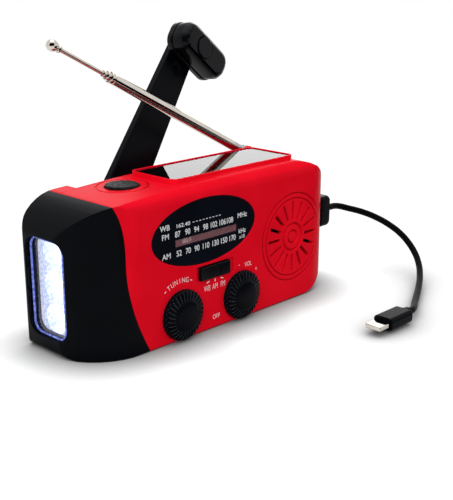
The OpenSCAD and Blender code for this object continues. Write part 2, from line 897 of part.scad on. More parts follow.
module dial_plate() {
    color(black) difference() {
        upright(dial_floor - dial_t, dial_floor) dial_oval(0);
        slot_hole(front - cut, dial_floor + cut, 0);
    }
}

pane_front = 0.2;
pane_back = 0.3;

module dial_window() {
    color(clear_plastic) slot_hole(dial_floor - dial_t + pane_front, dial_floor - pane_back, -seat_gap);
}

// Dial drive: a cord from the drum on the tuning shaft, over three guides, carries the pointer
cord_y = inner_front + 1.8;
cord_r = 0.35;
drum_r = 6;
guide_r = 2.2;
guide_left = [slot_x - slot_l / 2 - 5.4, slot_z - guide_r];
guide_right = [slot_x + slot_l / 2 + 5.2, slot_z - guide_r];
guide_low = [tuning_x + drum_r + guide_r, slot_z - 3 * guide_r];
guides = [guide_left, guide_right, guide_low];

function round_arc(c, r, a0, a1, n) =
    [for (i = [0:n]) let (a = a0 + (a1 - a0) * i / n) [c.x + r * cos(a), cord_y, c.y + r * sin(a)]];

cord_loop = concat(
    round_arc([tuning_x, knob_z], drum_r, 0, -180, 12),
    round_arc(guide_left, guide_r, 170, 90, 4),
    round_arc(guide_right, guide_r, 90, -90, 6),
    round_arc(guide_low, guide_r, 90, 180, 4));

module dial_cord() {
    color(white_plastic) swept_tube(cord_loop, cord_r, 6, closed = true);
}

module cord_guides() {
    color(steel) for (g = guides) bar_y(g.x, g.y, inner_front, cord_y + 1, guide_r - cord_r - 0.1);
}

pointer_at = slot_x + pointer_x;
carriage_y0 = inner_front + 0.2;
carriage_y1 = carriage_y0 + 0.8;
carriage_w = 4;
carriage_over = 1.6;
pointer_w = 1;
pointer_reach = 0.7;
clip_w = 2;

module dial_pointer() {
    slot_low = slot_z - slot_h / 2;
    slot_high = slot_z + slot_h / 2;
    color("#e8d8c8") difference() {
        union() {
            pointer_block(pointer_w, inner_front - pointer_reach, carriage_y1, slot_low, slot_high);
            pointer_block(carriage_w, carriage_y0, carriage_y1, slot_low, slot_high + carriage_over);
            pointer_block(clip_w, carriage_y1, cord_y + clip_w / 2 - lap, slot_z - clip_w / 2 + lap,
                slot_z + clip_w / 2 - lap);
        }
        bar_x(pointer_at - carriage_w, pointer_at + carriage_w, cord_y, slot_z, cord_r + lap);
    }
}

module pointer_block(w, y0, y1, z0, z1) {
    block(pointer_at - w / 2, pointer_at + w / 2, y0, y1, z0, z1);
}

board_gap = 0.4;

module main_board() {
    color(board_green) difference() {
        block(board_x0, board_x1, board_y, board_y + board_t, board_z0, board_z1);
        for (s = screws) bar_y(s.x, s.y, front, back, post_r + board_gap);
        lamp_side(tongue_l + cut);
    }
}

// Tuning: knob, shaft, cord drum and capacitor
capacitor_w = 15;
drum_y0 = inner_front + 0.3;
drum_y1 = cord_y + 1.1;

module tuning_capacitor() {
    y0 = drum_y1 + move_gap;
    color(white_plastic) difference() {
        block(tuning_x - capacitor_w / 2, tuning_x + capacitor_w / 2, y0, board_y, knob_z - capacitor_w / 2,
            knob_z + capacitor_w / 2);
        bar_y(tuning_x, knob_z, y0 - cut, board_y - shaft_floor, shaft_r + run_gap);
    }
}

drum_lip = 0.9;
drum_groove = 0.6;
drum_floor = 0.45;

module tuning_drum() {
    bore = shaft_r + seat_gap;
    rim = drum_r + drum_lip;
    core = drum_r - cord_r - lap;
    mid = cord_y - drum_y0;
    top = drum_y1 - drum_y0;
    color(white_plastic) turned_y(tuning_x, drum_y0, knob_z)
        polygon([[bore, 0], [rim, 0], [rim, mid - drum_groove], [core, mid - drum_floor],
            [core, mid + drum_floor], [rim, mid + drum_groove], [rim, top], [bore, top]]);
}

knob_flange = 0.9;
knob_face = 0.7;
knob_gap = 0.2;
ridge_r = 0.45;
ridge_in = 0.6;
face_in = 1.6;
face_slope = 1.2;
shaft_floor = 1;
shaft_end_gap = 0.4;
shaft_end = board_y - shaft_floor - shaft_end_gap;

// Domed knob with finger ridges, its shaft running back into the case
module knob(x) {
    translate([x, front - knob_gap, knob_z]) rotate([90, 0, 0]) {
        cylinder(r = knob_r, h = knob_flange);
        translate([0, 0, knob_flange]) linear_extrude(knob_h - knob_flange - knob_face)
            polygon([for (i = [0:2 * knob_ridges - 1]) let (r = knob_r - ridge_in - (i % 2) * 2 * ridge_r)
                r * [cos(i * 180 / knob_ridges), sin(i * 180 / knob_ridges)]]);
        translate([0, 0, knob_h - knob_face])
            cylinder(r1 = knob_r - face_in, r2 = knob_r - face_in - face_slope, h = knob_face);
    }
    bar_y(x, knob_z, front - knob_gap - lap, shaft_end, shaft_r);
}

module tuning_knob() {
    color(black) knob(tuning_x);
}

pot_r = 7.4;
pot_in = 2.6;

module volume_pot() {
    color(steel) difference() {
        bar_y(volume_x, knob_z, inner_front + pot_in, board_y, pot_r);
        bar_y(volume_x, knob_z, front, board_y - shaft_floor, shaft_r + run_gap);
    }
}

module volume_knob() {
    color(black) knob(volume_x);
}

// Band switch: the slider's lever runs in the switch body on the board
lever_w = 3;
lever_h = 2.4;
slider_out = 1.1;
slider_top = front - slider_out;
slider_groove_w = 1.2;
slider_groove_t = 0.7;
slider_gap = 0.2;
switch_y0 = inner_front + 1.2;
switch_body_l = 15.2;
switch_body_h = 6.8;

module band_switch() {
    color(steel) difference() {
        slit(switch_y0, board_y, switch_body_l, switch_body_h);
        slit(front, board_y - shaft_floor, lever_w + 2 * lever_room, lever_h + 2 * move_gap);
    }
}

module slider_block(l, y0, y1, h) {
    block(slider_x - l / 2, slider_x + l / 2, y0, y1, switch_z - h / 2, switch_z + h / 2);
}

module band_slider() {
    color(black) {
        difference() {
            slider_block(slider_l, slider_top, switch_floor - slider_gap, switch_h - 2 * move_gap);
            slider_block(slider_groove_w, slider_top - cut, slider_top + slider_groove_t, 2 * switch_h);
        }
        slider_block(lever_w, slider_top + slider_out, shaft_end, lever_h);
    }
}

// Lamp button on the top and its switch
button_out = 0.7;
button_top = top_at(button_x) + button_out;
button_flange = top_at(button_x) - wall - button_out;
flange_out = 1.4;
button_flange_t = 0.8;
stem_r = 2;
stem_l = 2;
stem_z = button_flange - stem_l;
lamp_switch_w = 5;
lamp_switch_h = 3.2;
lamp_board_l = 14;
press_gap = 0.2;

module lamp_button() {
    color(black) translate([button_x, button_y, 0]) {
        translate([0, 0, button_flange]) cylinder(r = button_r, h = button_top - button_flange);
        translate([0, 0, button_flange - button_flange_t])
            cylinder(r = button_r + flange_out, h = button_flange_t);
        translate([0, 0, stem_z]) cylinder(r = stem_r, h = stem_l + lap);
    }
}

module lamp_switch() {
    half = lamp_switch_w / 2;
    color(black) translate([button_x, 0, stem_z - button_travel - press_gap - lamp_switch_h]) {
        block(-half, half, button_y - half, button_y + half, 0, lamp_switch_h);
        block(-lamp_board_l / 2, lamp_board_l / 2, board_y + board_t, plate_y - move_gap, -board_t, 0);
    }
}

// Speaker
speaker_rim_t = 2.4;
speaker_seat = 1.2;
speaker_y = inner_front + speaker_seat;
basket_r = magnet_r + 1.4;
basket_l = 6.6;
basket_t = 1;
basket_lip = 2.2;
basket_wall = 0.6;
basket_y = speaker_y + basket_l;
magnet_t = 4.6;

module turned_y(x, y, z) {
    translate([x, y, z]) rotate([-90, 0, 0]) rotate_extrude() children();
}

module speaker_frame() {
    lip_r = speaker_r - basket_lip;
    color(steel) turned_y(speaker_x, speaker_y, speaker_z)
        polygon([[lip_r, 0], [speaker_r, 0], [speaker_r, speaker_rim_t], [basket_r + basket_t, basket_l],
            [0, basket_l], [0, basket_l - basket_t], [basket_r, basket_l - basket_t],
            [lip_r, speaker_rim_t - basket_wall]]);
}

// Cone: a flat surround, the slope and a shallow dust cap
cone_in = 0.6;
cone_r = speaker_r - basket_lip - lap;
surround_w = 2.2;
surround_t = 0.7;
coil_r = 4;
cone_t = 1;
cone_l = 3.8;
cap_rise = 0.9;

module speaker_cone() {
    fold_r = cone_r - surround_w;
    color("#202024") turned_y(speaker_x, speaker_y + cone_in, speaker_z)
        polygon([[cone_r, 0], [cone_r, surround_t], [fold_r, surround_t], [coil_r, cone_l],
            [0, cone_l - cap_rise], [0, cone_l - cap_rise - cone_t], [coil_r, cone_l - cone_t],
            [fold_r, 0]]);
}

module speaker_magnet() {
    color(steel) bar_y(speaker_x, speaker_z, basket_y, basket_y + magnet_t, magnet_r);
}

// Battery, lying along the base behind the board
battery_x = (screws[0].x + screws[3].x) / 2;
battery_y = inner_back - battery_r - 1.6;
battery_z = wall + battery_r + 1;
cell_nub = 1.4;
cradle_w = 4;
cradle_apart = 0.6;

module battery_cell() {
    end = battery_x + battery_l / 2;
    color("#2c5aa0") {
        bar_x(end - battery_l, end - cell_nub, battery_y, battery_z, battery_r);
        bar_x(end - cell_nub - lap, end, battery_y, battery_z, battery_r / 3);
    }
}

module battery_cradle() {
    color(black) difference() {
        intersection() {
            case_block(wall + seat_gap);
            for (s = [-1, 1]) translate([battery_x + s * battery_l * cradle_apart / 2, 0, 0])
                block(-cradle_w / 2, cradle_w / 2, battery_y - battery_r / 2, back, 0,
                    battery_z + battery_r / 2);
        }
        bar_x(battery_x - battery_l, battery_x + battery_l, battery_y, battery_z, battery_r + seat_gap);
    }
}

// Ferrite aerial under the top
ferrite_gap = 1.1;
ferrite_x = button_x + lamp_board_l / 2 + ferrite_gap + ferrite_l / 2;
ferrite_y = board_y + board_t + ferrite_r + 2;
ferrite_z = cell_z - rim_floor - ferrite_r - 1.6;
clip_t = 1.2;
ferrite_clip_w = 3;
clips_apart = 0.76;

module ferrite_rod() {
    color("#3a3a3e")
        bar_x(ferrite_x - ferrite_l / 2, ferrite_x + ferrite_l / 2, ferrite_y, ferrite_z, ferrite_r);
}

coil_share = 0.35;
coil_t = 0.8;
coil_l = ferrite_l * coil_share;

module ferrite_coil() {
    color(brass) difference() {
        bar_x(ferrite_x - coil_l / 2, ferrite_x + coil_l / 2, ferrite_y, ferrite_z, ferrite_r + coil_t);
        bar_x(ferrite_x - coil_l, ferrite_x + coil_l, ferrite_y, ferrite_z, ferrite_r + seat_gap);
    }
}

module ferrite_clips() {
    color(black) difference() {
        for (s = [-1, 1]) translate([ferrite_x + s * ferrite_l * clips_apart / 2, 0, 0])
            block(-ferrite_clip_w / 2, ferrite_clip_w / 2, board_y + board_t, ferrite_y + ferrite_r / 2,
                ferrite_z - ferrite_r - clip_t, ferrite_z + ferrite_r + clip_t);
        bar_x(ferrite_x - ferrite_l, ferrite_x + ferrite_l, ferrite_y, ferrite_z, ferrite_r + seat_gap);
    }
}

// Gear plate: carries the axle's inner end, the idler and the generator
post_gap = plate_post_r + move_gap;
plate_edge = 3;
plate_end = 7;
idler_pin_out = 0.8;
drive_clear = drive_r + first_module + post_gap;
wheel_clear = idler_r + second_module + post_gap;
plate_posts = [[hub_x - drive_clear * cos(45), hub_z - drive_clear * sin(45)],
    [idler_x + wheel_clear * cos(40), idler_z + wheel_clear * sin(40)],
    [hub_x + drive_clear * cos(22), hub_z + drive_clear * sin(22)]];

module gear_plate() {
    color(steel) difference() {
        union() {
            block(plate_posts[0].x - plate_edge, rotor_x + plate_end, plate_y, plate_y + plate_t,
                plate_posts[0].y - plate_edge, plate_posts[2].y + plate_edge);
            bar_y(idler_x, idler_z, plate_y + plate_t - lap, drive_y + gear_t + idler_pin_out, idler_pin_r);
        }
        bar_y(hub_x, hub_z, 0, far, axle_r + run_gap);
        bar_y(rotor_x, rotor_z, -far, far, rotor_shaft_r + run_gap + cut);
    }
}

generator_y1 = plate_y;
generator_y0 = generator_y1 - generator_l;
generator_wall = 2.8;
generator_end = 0.8;
rotor_gap = 0.6;
pinion_out = 0.4;

module generator_case() {
    color(steel) difference() {
        bar_y(rotor_x, rotor_z, generator_y0, generator_y1, generator_r);
        bar_y(rotor_x, rotor_z, generator_y0 + generator_end, generator_y1 - generator_end,
            generator_r - generator_wall);
        bar_y(rotor_x, rotor_z, -far, far, rotor_shaft_r + run_gap);
    }
}

module generator_rotor() {
    inset = generator_end + rotor_gap;
    color(brass) {
        bar_y(rotor_x, rotor_z, generator_y0 + generator_end / 2, wheel_y + gear_t + pinion_out,
            rotor_shaft_r);
        bar_y(rotor_x, rotor_z, generator_y0 + inset, generator_y1 - inset,
            generator_r - generator_wall - rotor_gap);
        gear(rotor_x, rotor_z, wheel_y - pinion_out / 2, wheel_y + gear_t + pinion_out, rotor_teeth,
            second_module, pinion_over * second_module, pinion_under * second_module,
            rotor_angle + 180 + 180 / rotor_teeth);
    }
}

module idler_gear() {
    color(brass) difference() {
        union() {
            gear(idler_x, idler_z, wheel_y, wheel_y + gear_t, idler_teeth, second_module,
                wheel_over * second_module, wheel_under * second_module, rotor_angle);
            gear(idler_x, idler_z, wheel_y + gear_t - lap, drive_y + gear_t + move_gap, idler_pinion_teeth,
                first_module, pinion_over * first_module, pinion_under * first_module,
                idler_angle + 180 + 180 / idler_pinion_teeth);
        }
        bar_y(idler_x, idler_z, 0, far, idler_pin_r + run_gap);
    }
}

module drive_gear() {
    color(brass) difference() {
        gear(hub_x, hub_z, drive_y, drive_y + gear_t, drive_teeth, first_module, wheel_over * first_module,
            wheel_under * first_module, idler_angle);
        bar_y(hub_x, hub_z, 0, far, axle_r + seat_gap);
    }
}

axle_cap = 1.2;
axle_in = 0.2;

module crank_axle() {
    color(steel) bar_y(hub_x, hub_z, plate_y + axle_in, back + move_gap + axle_cap, axle_r);
}

// Hub: a disc on the axle with two ears for the hinge pin
module crank_hub() {
    color(black) on_hub() difference() {
        union() {
            translate([0, move_gap - hinge_out, 0]) rotate([-90, 0, 0]) cylinder(r = hub_r, h = hub_t);
            for (x = [ear_x0, -ear_x1]) translate([x, 0, 0]) {
                rotate([0, 90, 0]) cylinder(r = ear_r, h = ear_x1 - ear_x0);
                translate([0, hub_top - lap, -ear_r]) cube([ear_x1 - ear_x0, lap - hub_top, 2 * ear_r]);
            }
        }
        translate([-hub_r, 0, 0]) rotate([0, 90, 0]) cylinder(r = hinge_r + seat_gap, h = 2 * hub_r);
        translate([0, -2 * hinge_out, 0]) rotate([-90, 0, 0])
            cylinder(r = axle_r + seat_gap, h = hinge_out + move_gap + axle_cap);
    }
}

module hinge_pin() {
    color(steel) on_hub() translate([-ear_x1, 0, 0]) rotate([0, 90, 0])
        cylinder(r = hinge_r, h = 2 * ear_x1);
}

dimple_down = 10;
dimple_r = 2.2;
dimple_t = 0.8;

// Arm: knuckle, tapered blade and rounded end
module crank_arm() {
    color(black) on_arm() difference() {
        union() {
            upright(-arm_t / 2, arm_t / 2) polygon([[-arm_w / 2, arm_start], [arm_w / 2, arm_start],
                [arm_tip_w / 2, arm_l], [-arm_tip_w / 2, arm_l]]);
            translate([0, arm_t / 2, arm_l]) rotate([90, 0, 0]) cylinder(r = arm_tip_w / 2, h = arm_t);
            translate([-knuckle_w / 2, -arm_t / 2, 0]) cube([knuckle_w, arm_t, arm_start + cut]);
            translate([-knuckle_w / 2, 0, 0]) rotate([0, 90, 0]) cylinder(r = knuckle_r, h = knuckle_w);
        }
        translate([-hub_r, 0, 0]) rotate([0, 90, 0]) cylinder(r = hinge_r + run_gap, h = 2 * hub_r);
        translate([0, arm_t, arm_l]) rotate([90, 0, 0]) cylinder(r = grip_pin_r + seat_gap, h = 2 * arm_t);
        translate([0, dimple_t - arm_t / 2, arm_l - dimple_down]) rotate([90, 0, 0])
            cylinder(r = dimple_r, h = arm_t);
    }
}

module grip_pin() {
    color(steel) on_arm() translate([0, 0, arm_l]) {
        translate([0, arm_t / 2, 0]) rotate([90, 0, 0])
            cylinder(r = grip_pin_r, h = arm_t / 2 - grip_y1 - pin_head_sunk);
        translate([0, grip_y1 + pin_head_t - pin_head_sunk, 0]) rotate([90, 0, 0])
            cylinder(r = pin_head_r, h = pin_head_t);
    }
}

module grip_outline(inset) {
    polygon(rounded_outline(grip_offset - grip_l / 2 + inset, arm_l - grip_w / 2 + inset,
        grip_offset + grip_l / 2 - inset, arm_l + grip_w / 2 - inset, grip_corner - inset / 2));
}

module grip_bore() {
    translate([0, far, arm_l]) rotate([90, 0, 0]) cylinder(r = grip_pin_r + run_gap, h = 2 * far);
}

step = 0.8;

module grip_rear() {
    color(black) on_arm() difference() {
        union() {
            upright(grip_seam, grip_y0 - step) grip_outline(0);
            upright(grip_y0 - step - lap, grip_y0) grip_outline(step);
        }
        grip_bore();
    }
}

seam_gap = 0.05;
shoulder = [3, 0.3];
bend = [1, 1.2];
crest = 2.6;
finger_share = 0.72;
finger_in = 1.6;
finger_w = 0.9;
finger_t = 3;

// Near half of the grip, rounded over, with a finger groove along its lower edge
module grip_front() {
    color(black) on_arm() difference() {
        hull() {
            upright(grip_y1 + shoulder[0], grip_seam - seam_gap) grip_outline(shoulder[1]);
            upright(grip_y1 + bend[0], grip_y1 + bend[0] + lap) grip_outline(bend[1]);
            upright(grip_y1, grip_y1 + lap) grip_outline(crest);
        }
        grip_bore();
        translate([0, grip_y1 + pin_head_t + move_gap - pin_head_sunk, arm_l]) rotate([90, 0, 0])
            cylinder(r = pin_head_r + move_gap, h = grip_d);
        translate([grip_offset - grip_l * finger_share / 2, grip_y1 - cut, arm_l - grip_w / 2 + finger_in])
            cube([grip_l * finger_share, finger_t + cut, finger_w]);
    }
}

// Antenna: a screw through the base, three tubes and the tip rod
pivot_head_t = 0.9;
pivot_head_in = 0.2;

module antenna_screw() {
    head_y = antenna_y + antenna_r + move_gap;
    color(chrome) {
        bar_y(antenna_x, antenna_z, cover_y + lap, head_y + lap, pivot_pin_r);
        bar_y(antenna_x, antenna_z, head_y, head_y + pivot_head_t, pivot_r - pivot_head_in);
    }
}

base_l = 8;
base_in = 0.2;

module antenna_base() {
    color(black) on_antenna() difference() {
        union() {
            translate([0, -antenna_r, 0]) rotate([-90, 0, 0]) cylinder(r = pivot_r, h = 2 * antenna_r);
            cylinder(r = antenna_r - base_in, h = base_l);
        }
        translate([0, -far, 0]) rotate([-90, 0, 0]) cylinder(r = pivot_pin_r + run_gap, h = 2 * far);
    }
}

// Radius of each stage, from the outer tube to the tip rod
function stage_r(n) = antenna_r - n * (antenna_wall + run_gap);
tube_end = antenna_l;
function stage_end(n) = tube_end + n * collar_l / 2;
rod_end = stage_end(2) + rod_out + tip_r;
stage_step = 0.6;
tube_floor = 0.5;
rod_held = 26;

module antenna_tube(n) {
    foot = base_l + n * stage_step;
    color(chrome) on_antenna() difference() {
        translate([0, 0, foot]) cylinder(r = stage_r(n), h = stage_end(n) - foot);
        translate([0, 0, foot + tube_floor]) cylinder(r = stage_r(n) - antenna_wall, h = far);
    }
}

module antenna_tube_1() {
    antenna_tube(0);
}

module antenna_tube_2() {
    antenna_tube(1);
}

module antenna_tube_3() {
    antenna_tube(2);
}

module antenna_rod() {
    color(chrome) on_antenna() {
        translate([0, 0, stage_end(2) - rod_held])
            cylinder(r = stage_r(3), h = rod_end - stage_end(2) + rod_held);
        translate([0, 0, rod_end]) sphere(r = tip_r);
    }
}

// Sockets and their board in the speaker end
socket_wall = 0.3;
socket_back = 1.2;

module socket(z, w, t, l, x1) {
    difference() {
        socket_block(x1 - l, x1, z, w, t);
        socket_block(x1 - l + socket_back, far, z, w - 2 * socket_wall, t - 2 * socket_wall);
    }
}

module usb_socket() {
    color(steel) socket(socket_z, socket_w, socket_t, socket_l, socket_x1);
}

module charge_socket() {
    color(steel) socket(charge_z, charge_w, charge_t, charge_l, charge_x1);
}

usb_board_y = socket_y + socket_t / 2;
usb_board_over = 1.4;
usb_board_in = 3.2;
usb_board_edge = 1;
riser_w = 6;
riser_in = 1.4;

module usb_board() {
    color(board_green) {
        block(socket_x1 - socket_l - usb_board_over, socket_x1 - usb_board_in, usb_board_y,
            usb_board_y + board_t, charge_z - charge_w / 2 - usb_board_edge,
            socket_z + socket_w / 2 + usb_board_edge);
        block(charge_x1 - charge_l, charge_x1 - riser_in, socket_y + charge_t / 2, usb_board_y + lap,
            charge_z - riser_w / 2, charge_z + riser_w / 2);
    }
}

screw_sunk = 0.1;
thread_gap = 0.06;
cross_l = 3.2;
cross_w = 0.6;
cross_t = 0.6;

module case_screws() {
    color(steel) for (s = screws) {
        bar_y(s.x, s.y, cover_y - screw_l, back - screw_head_t, screw_r - thread_gap);
        difference() {
            bar_y(s.x, s.y, back - screw_head_t - lap / 2, back - screw_sunk, screw_head_r);
            translate([s.x, back - cross_t, s.y]) for (a = [0, 90]) rotate([0, a, 0])
                block(-cross_l / 2, cross_l / 2, 0, 2 * cross_t, -cross_w / 2, cross_w / 2);
        }
    }
}

// Charging lead: plug with its metal shell, cable and small connector
plug_shell_l = socket_l - 2;
shell_w = socket_w - 2 * socket_wall - 0.2;
shell_t = socket_t - 2 * socket_wall - 0.2;
plug_r = 1.6;
plug_taper = 2;
plug_end_in = 1;
plug_end_t = 0.2;
tongue_in = 4;
tongue_h = 2;
shell_wall = 0.4;

module plug_outline(inset) {
    polygon(rounded_outline(socket_y - plug_t / 2 + inset, socket_z - plug_w / 2 + inset,
        socket_y + plug_t / 2 - inset, socket_z + plug_w / 2 - inset, plug_r));
}

module usb_plug() {
    color(black) difference() {
        hull() {
            along_x(plug_x0, plug_x1 - plug_taper) plug_outline(0);
            along_x(plug_x1 - plug_end_t, plug_x1) plug_outline(plug_end_in);
        }
        bar_x(plug_x0 - cut, plug_x0 + 2 * cut, socket_y, socket_z, plug_r / 2);
    }
}

module plug_shell() {
    color(chrome) difference() {
        socket_block(plug_x0 - plug_shell_l, plug_x0, socket_z, shell_w, shell_t);
        block(plug_x0 - plug_shell_l - cut, plug_x0 - tongue_in, socket_y - shell_t / 2 + shell_wall,
            socket_y + shell_t / 2 - tongue_h, socket_z - shell_w / 2 + shell_wall,
            socket_z + shell_w / 2 - shell_wall);
    }
}

module usb_cable() {
    color(black) swept_tube(lead_route, lead_d / 2, lead_sides);
}

lead_end = lead_route[len(lead_route) - 1];
connector_l = 14;
connector_w = 8.6;
connector_t = 5;
tip_w = 6.8;
tip_t = 1.8;
tip_l = 6.5;
relief_l = 3;
relief_t = 0.7;
connector_x0 = -connector_l - relief_l;

module phone_connector() {
    color(black) translate(lead_end) {
        along_x(connector_x0, -relief_l) polygon(rounded_outline(-connector_w / 2, -connector_t / 2,
            connector_w / 2, connector_t / 2, plug_r));
        bar_x(-relief_l - lap, 0, 0, 0, lead_d / 2 + relief_t);
    }
}

module connector_tip() {
    color(chrome) translate(lead_end)
        block(connector_x0 - tip_l, connector_x0, -tip_w / 2, tip_w / 2, -tip_t / 2, tip_t / 2);
}

front_shell();
rear_cover();
lamp_cap();
lamp_lens();
lamp_reflector();
lamp_leds();
led_board();
solar_cell();
solar_cover();
dial_plate();
dial_window();
dial_pointer();
dial_cord();
cord_guides();
main_board();
tuning_capacitor();
tuning_drum();
tuning_knob();
volume_pot();
volume_knob();
band_switch();
band_slider();
lamp_button();
lamp_switch();
speaker_frame();
speaker_cone();
speaker_magnet();
battery_cell();
battery_cradle();
ferrite_rod();
ferrite_coil();
ferrite_clips();
gear_plate();
generator_case();
generator_rotor();
idler_gear();
drive_gear();
crank_axle();
crank_hub();
hinge_pin();
crank_arm();
grip_pin();
grip_rear();
grip_front();
antenna_screw();
antenna_base();
antenna_tube_1();
antenna_tube_2();
antenna_tube_3();
antenna_rod();
usb_socket();
charge_socket();
usb_board();
case_screws();
usb_plug();
plug_shell();
usb_cable();
phone_connector();
connector_tip();
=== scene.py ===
"""Dresses the hand-crank emergency radio: finishes, rounded edges, print, lamp, lead and studio."""

import json
import logging
import math
from dataclasses import dataclass, field
from enum import Enum
from typing import Sequence

import bmesh
import bpy
from mathutils import Matrix, Vector


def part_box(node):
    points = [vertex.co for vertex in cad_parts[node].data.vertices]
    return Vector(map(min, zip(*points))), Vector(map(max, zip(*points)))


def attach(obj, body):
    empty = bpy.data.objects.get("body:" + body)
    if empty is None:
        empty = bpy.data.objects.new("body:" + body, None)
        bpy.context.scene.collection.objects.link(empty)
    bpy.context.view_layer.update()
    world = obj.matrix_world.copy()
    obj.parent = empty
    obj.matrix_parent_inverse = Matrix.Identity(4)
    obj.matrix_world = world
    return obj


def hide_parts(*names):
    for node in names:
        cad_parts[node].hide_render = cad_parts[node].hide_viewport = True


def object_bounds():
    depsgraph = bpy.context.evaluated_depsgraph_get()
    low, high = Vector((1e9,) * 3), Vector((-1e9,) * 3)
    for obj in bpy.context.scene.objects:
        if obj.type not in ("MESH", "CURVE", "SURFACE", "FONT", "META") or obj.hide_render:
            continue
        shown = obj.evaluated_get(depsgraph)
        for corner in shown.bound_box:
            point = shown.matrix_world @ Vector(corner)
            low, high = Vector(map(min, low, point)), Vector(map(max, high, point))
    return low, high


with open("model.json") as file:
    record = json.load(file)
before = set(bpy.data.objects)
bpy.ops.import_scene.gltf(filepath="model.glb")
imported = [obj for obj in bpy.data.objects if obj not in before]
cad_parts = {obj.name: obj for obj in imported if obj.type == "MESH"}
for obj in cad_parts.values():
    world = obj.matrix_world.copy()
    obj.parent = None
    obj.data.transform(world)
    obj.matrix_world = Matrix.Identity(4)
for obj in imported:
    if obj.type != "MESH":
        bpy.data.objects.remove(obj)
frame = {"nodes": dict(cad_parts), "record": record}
CAD_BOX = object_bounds()

Mesh = bmesh.types.BMesh
Piece = bpy.types.Object
Socket = bpy.types.NodeSocket
Colour = tuple[float, float, float, float]
Pair = tuple[float, float]
Triple = tuple[float, float, float]

MM = 0.001
WELD = 0.001 * MM
FLAT = math.radians(0.4)
SHARP = math.radians(32)
WHITE: Colour = (1, 1, 1, 1)
LOG = logging.getLogger("radio")
NODES: dict[str, Piece] = frame["nodes"]
BODY_OF: dict[str, str] = {
    node: body for body, nodes in frame["record"]["behaviour"]["bodies"].items() for node in nodes
}


class Slot(str, Enum):
    """Material slots of the record."""

    RED = "red_case"
    BLACK = "black_plastic"
    CLEAR = "clear_plastic"
    MIRROR = "reflector"
    SOLAR = "solar"
    DIAL = "dial"
    PALE = "pale_plastic"
    STEEL = "steel"
    CHROME = "chrome"
    RUBBER = "rubber"


def srgb(red: int, green: int, blue: int) -> Colour:
    """Turns a display colour into the linear colour that a shader takes.

    Args:
        red: Red, 0 to 255.
        green: Green, 0 to 255.
        blue: Blue, 0 to 255.

    Returns:
        The colour in linear light, with alpha 1.
    """
    parts = [c / 255 for c in (red, green, blue)]
    linear = [c / 12.92 if c <= 0.04045 else ((c + 0.055) / 1.055) ** 2.4 for c in parts]
    return (linear[0], linear[1], linear[2], 1.0)


class NodeGraph:
    """The nodes of a material or of the world."""

    def __init__(self, tree: bpy.types.NodeTree) -> None:
        """Takes up a node tree."""
        self.tree = tree

    def node(self, kind: str, inputs: dict | None = None, **settings: object) -> bpy.types.Node:
        """Adds a node.

        Args:
            kind: Blender's name for the node type.
            inputs: Values or sockets for the node's inputs, by name or index.
            settings: Properties to set on the node.

        Returns:
            The new node.
        """
        made = self.tree.nodes.new(kind)
        for key, value in settings.items():
            setattr(made, key, value)
        for key, value in (inputs or {}).items():
            self.feed(made.inputs[key], value)
        return made

    def feed(self, socket: Socket, value: object) -> None:
        """Links a socket to another one, or sets it to a constant.

        Args:
            socket: The input socket.
            value: The output socket or the constant that it takes.
        """
        if isinstance(value, Socket):
            self.tree.links.new(value, socket)
        else:
            socket.default_value = value

    def calc(self, operation: str, first: object, second: object = 0.0) -> Socket:
        """Adds one step of arithmetic on two values or sockets."""
        return self.node("ShaderNodeMath", {0: first, 1: second}, operation=operation).outputs[0]

    def spread(self, value: Socket, low: float, high: float, window: Pair = (0.3, 0.7)) -> Socket:
        """Maps a window of a value onto the range from low to high."""
        inputs = {"Value": value, 1: window[0], 2: window[1], 3: low, 4: high}
        return self.node("ShaderNodeMapRange", inputs).outputs["Result"]

    def seen(self) -> Socket:
        """Tells rays that show a thing from those that light it.

        Returns:
            1 for camera, glossy and transmission rays and 0 for the light that falls on things.
        """
        path = self.node("ShaderNodeLightPath").outputs
        rays = self.calc("MAXIMUM", path["Is Camera Ray"], path["Is Glossy Ray"])
        return self.calc("MAXIMUM", rays, path["Is Transmission Ray"])


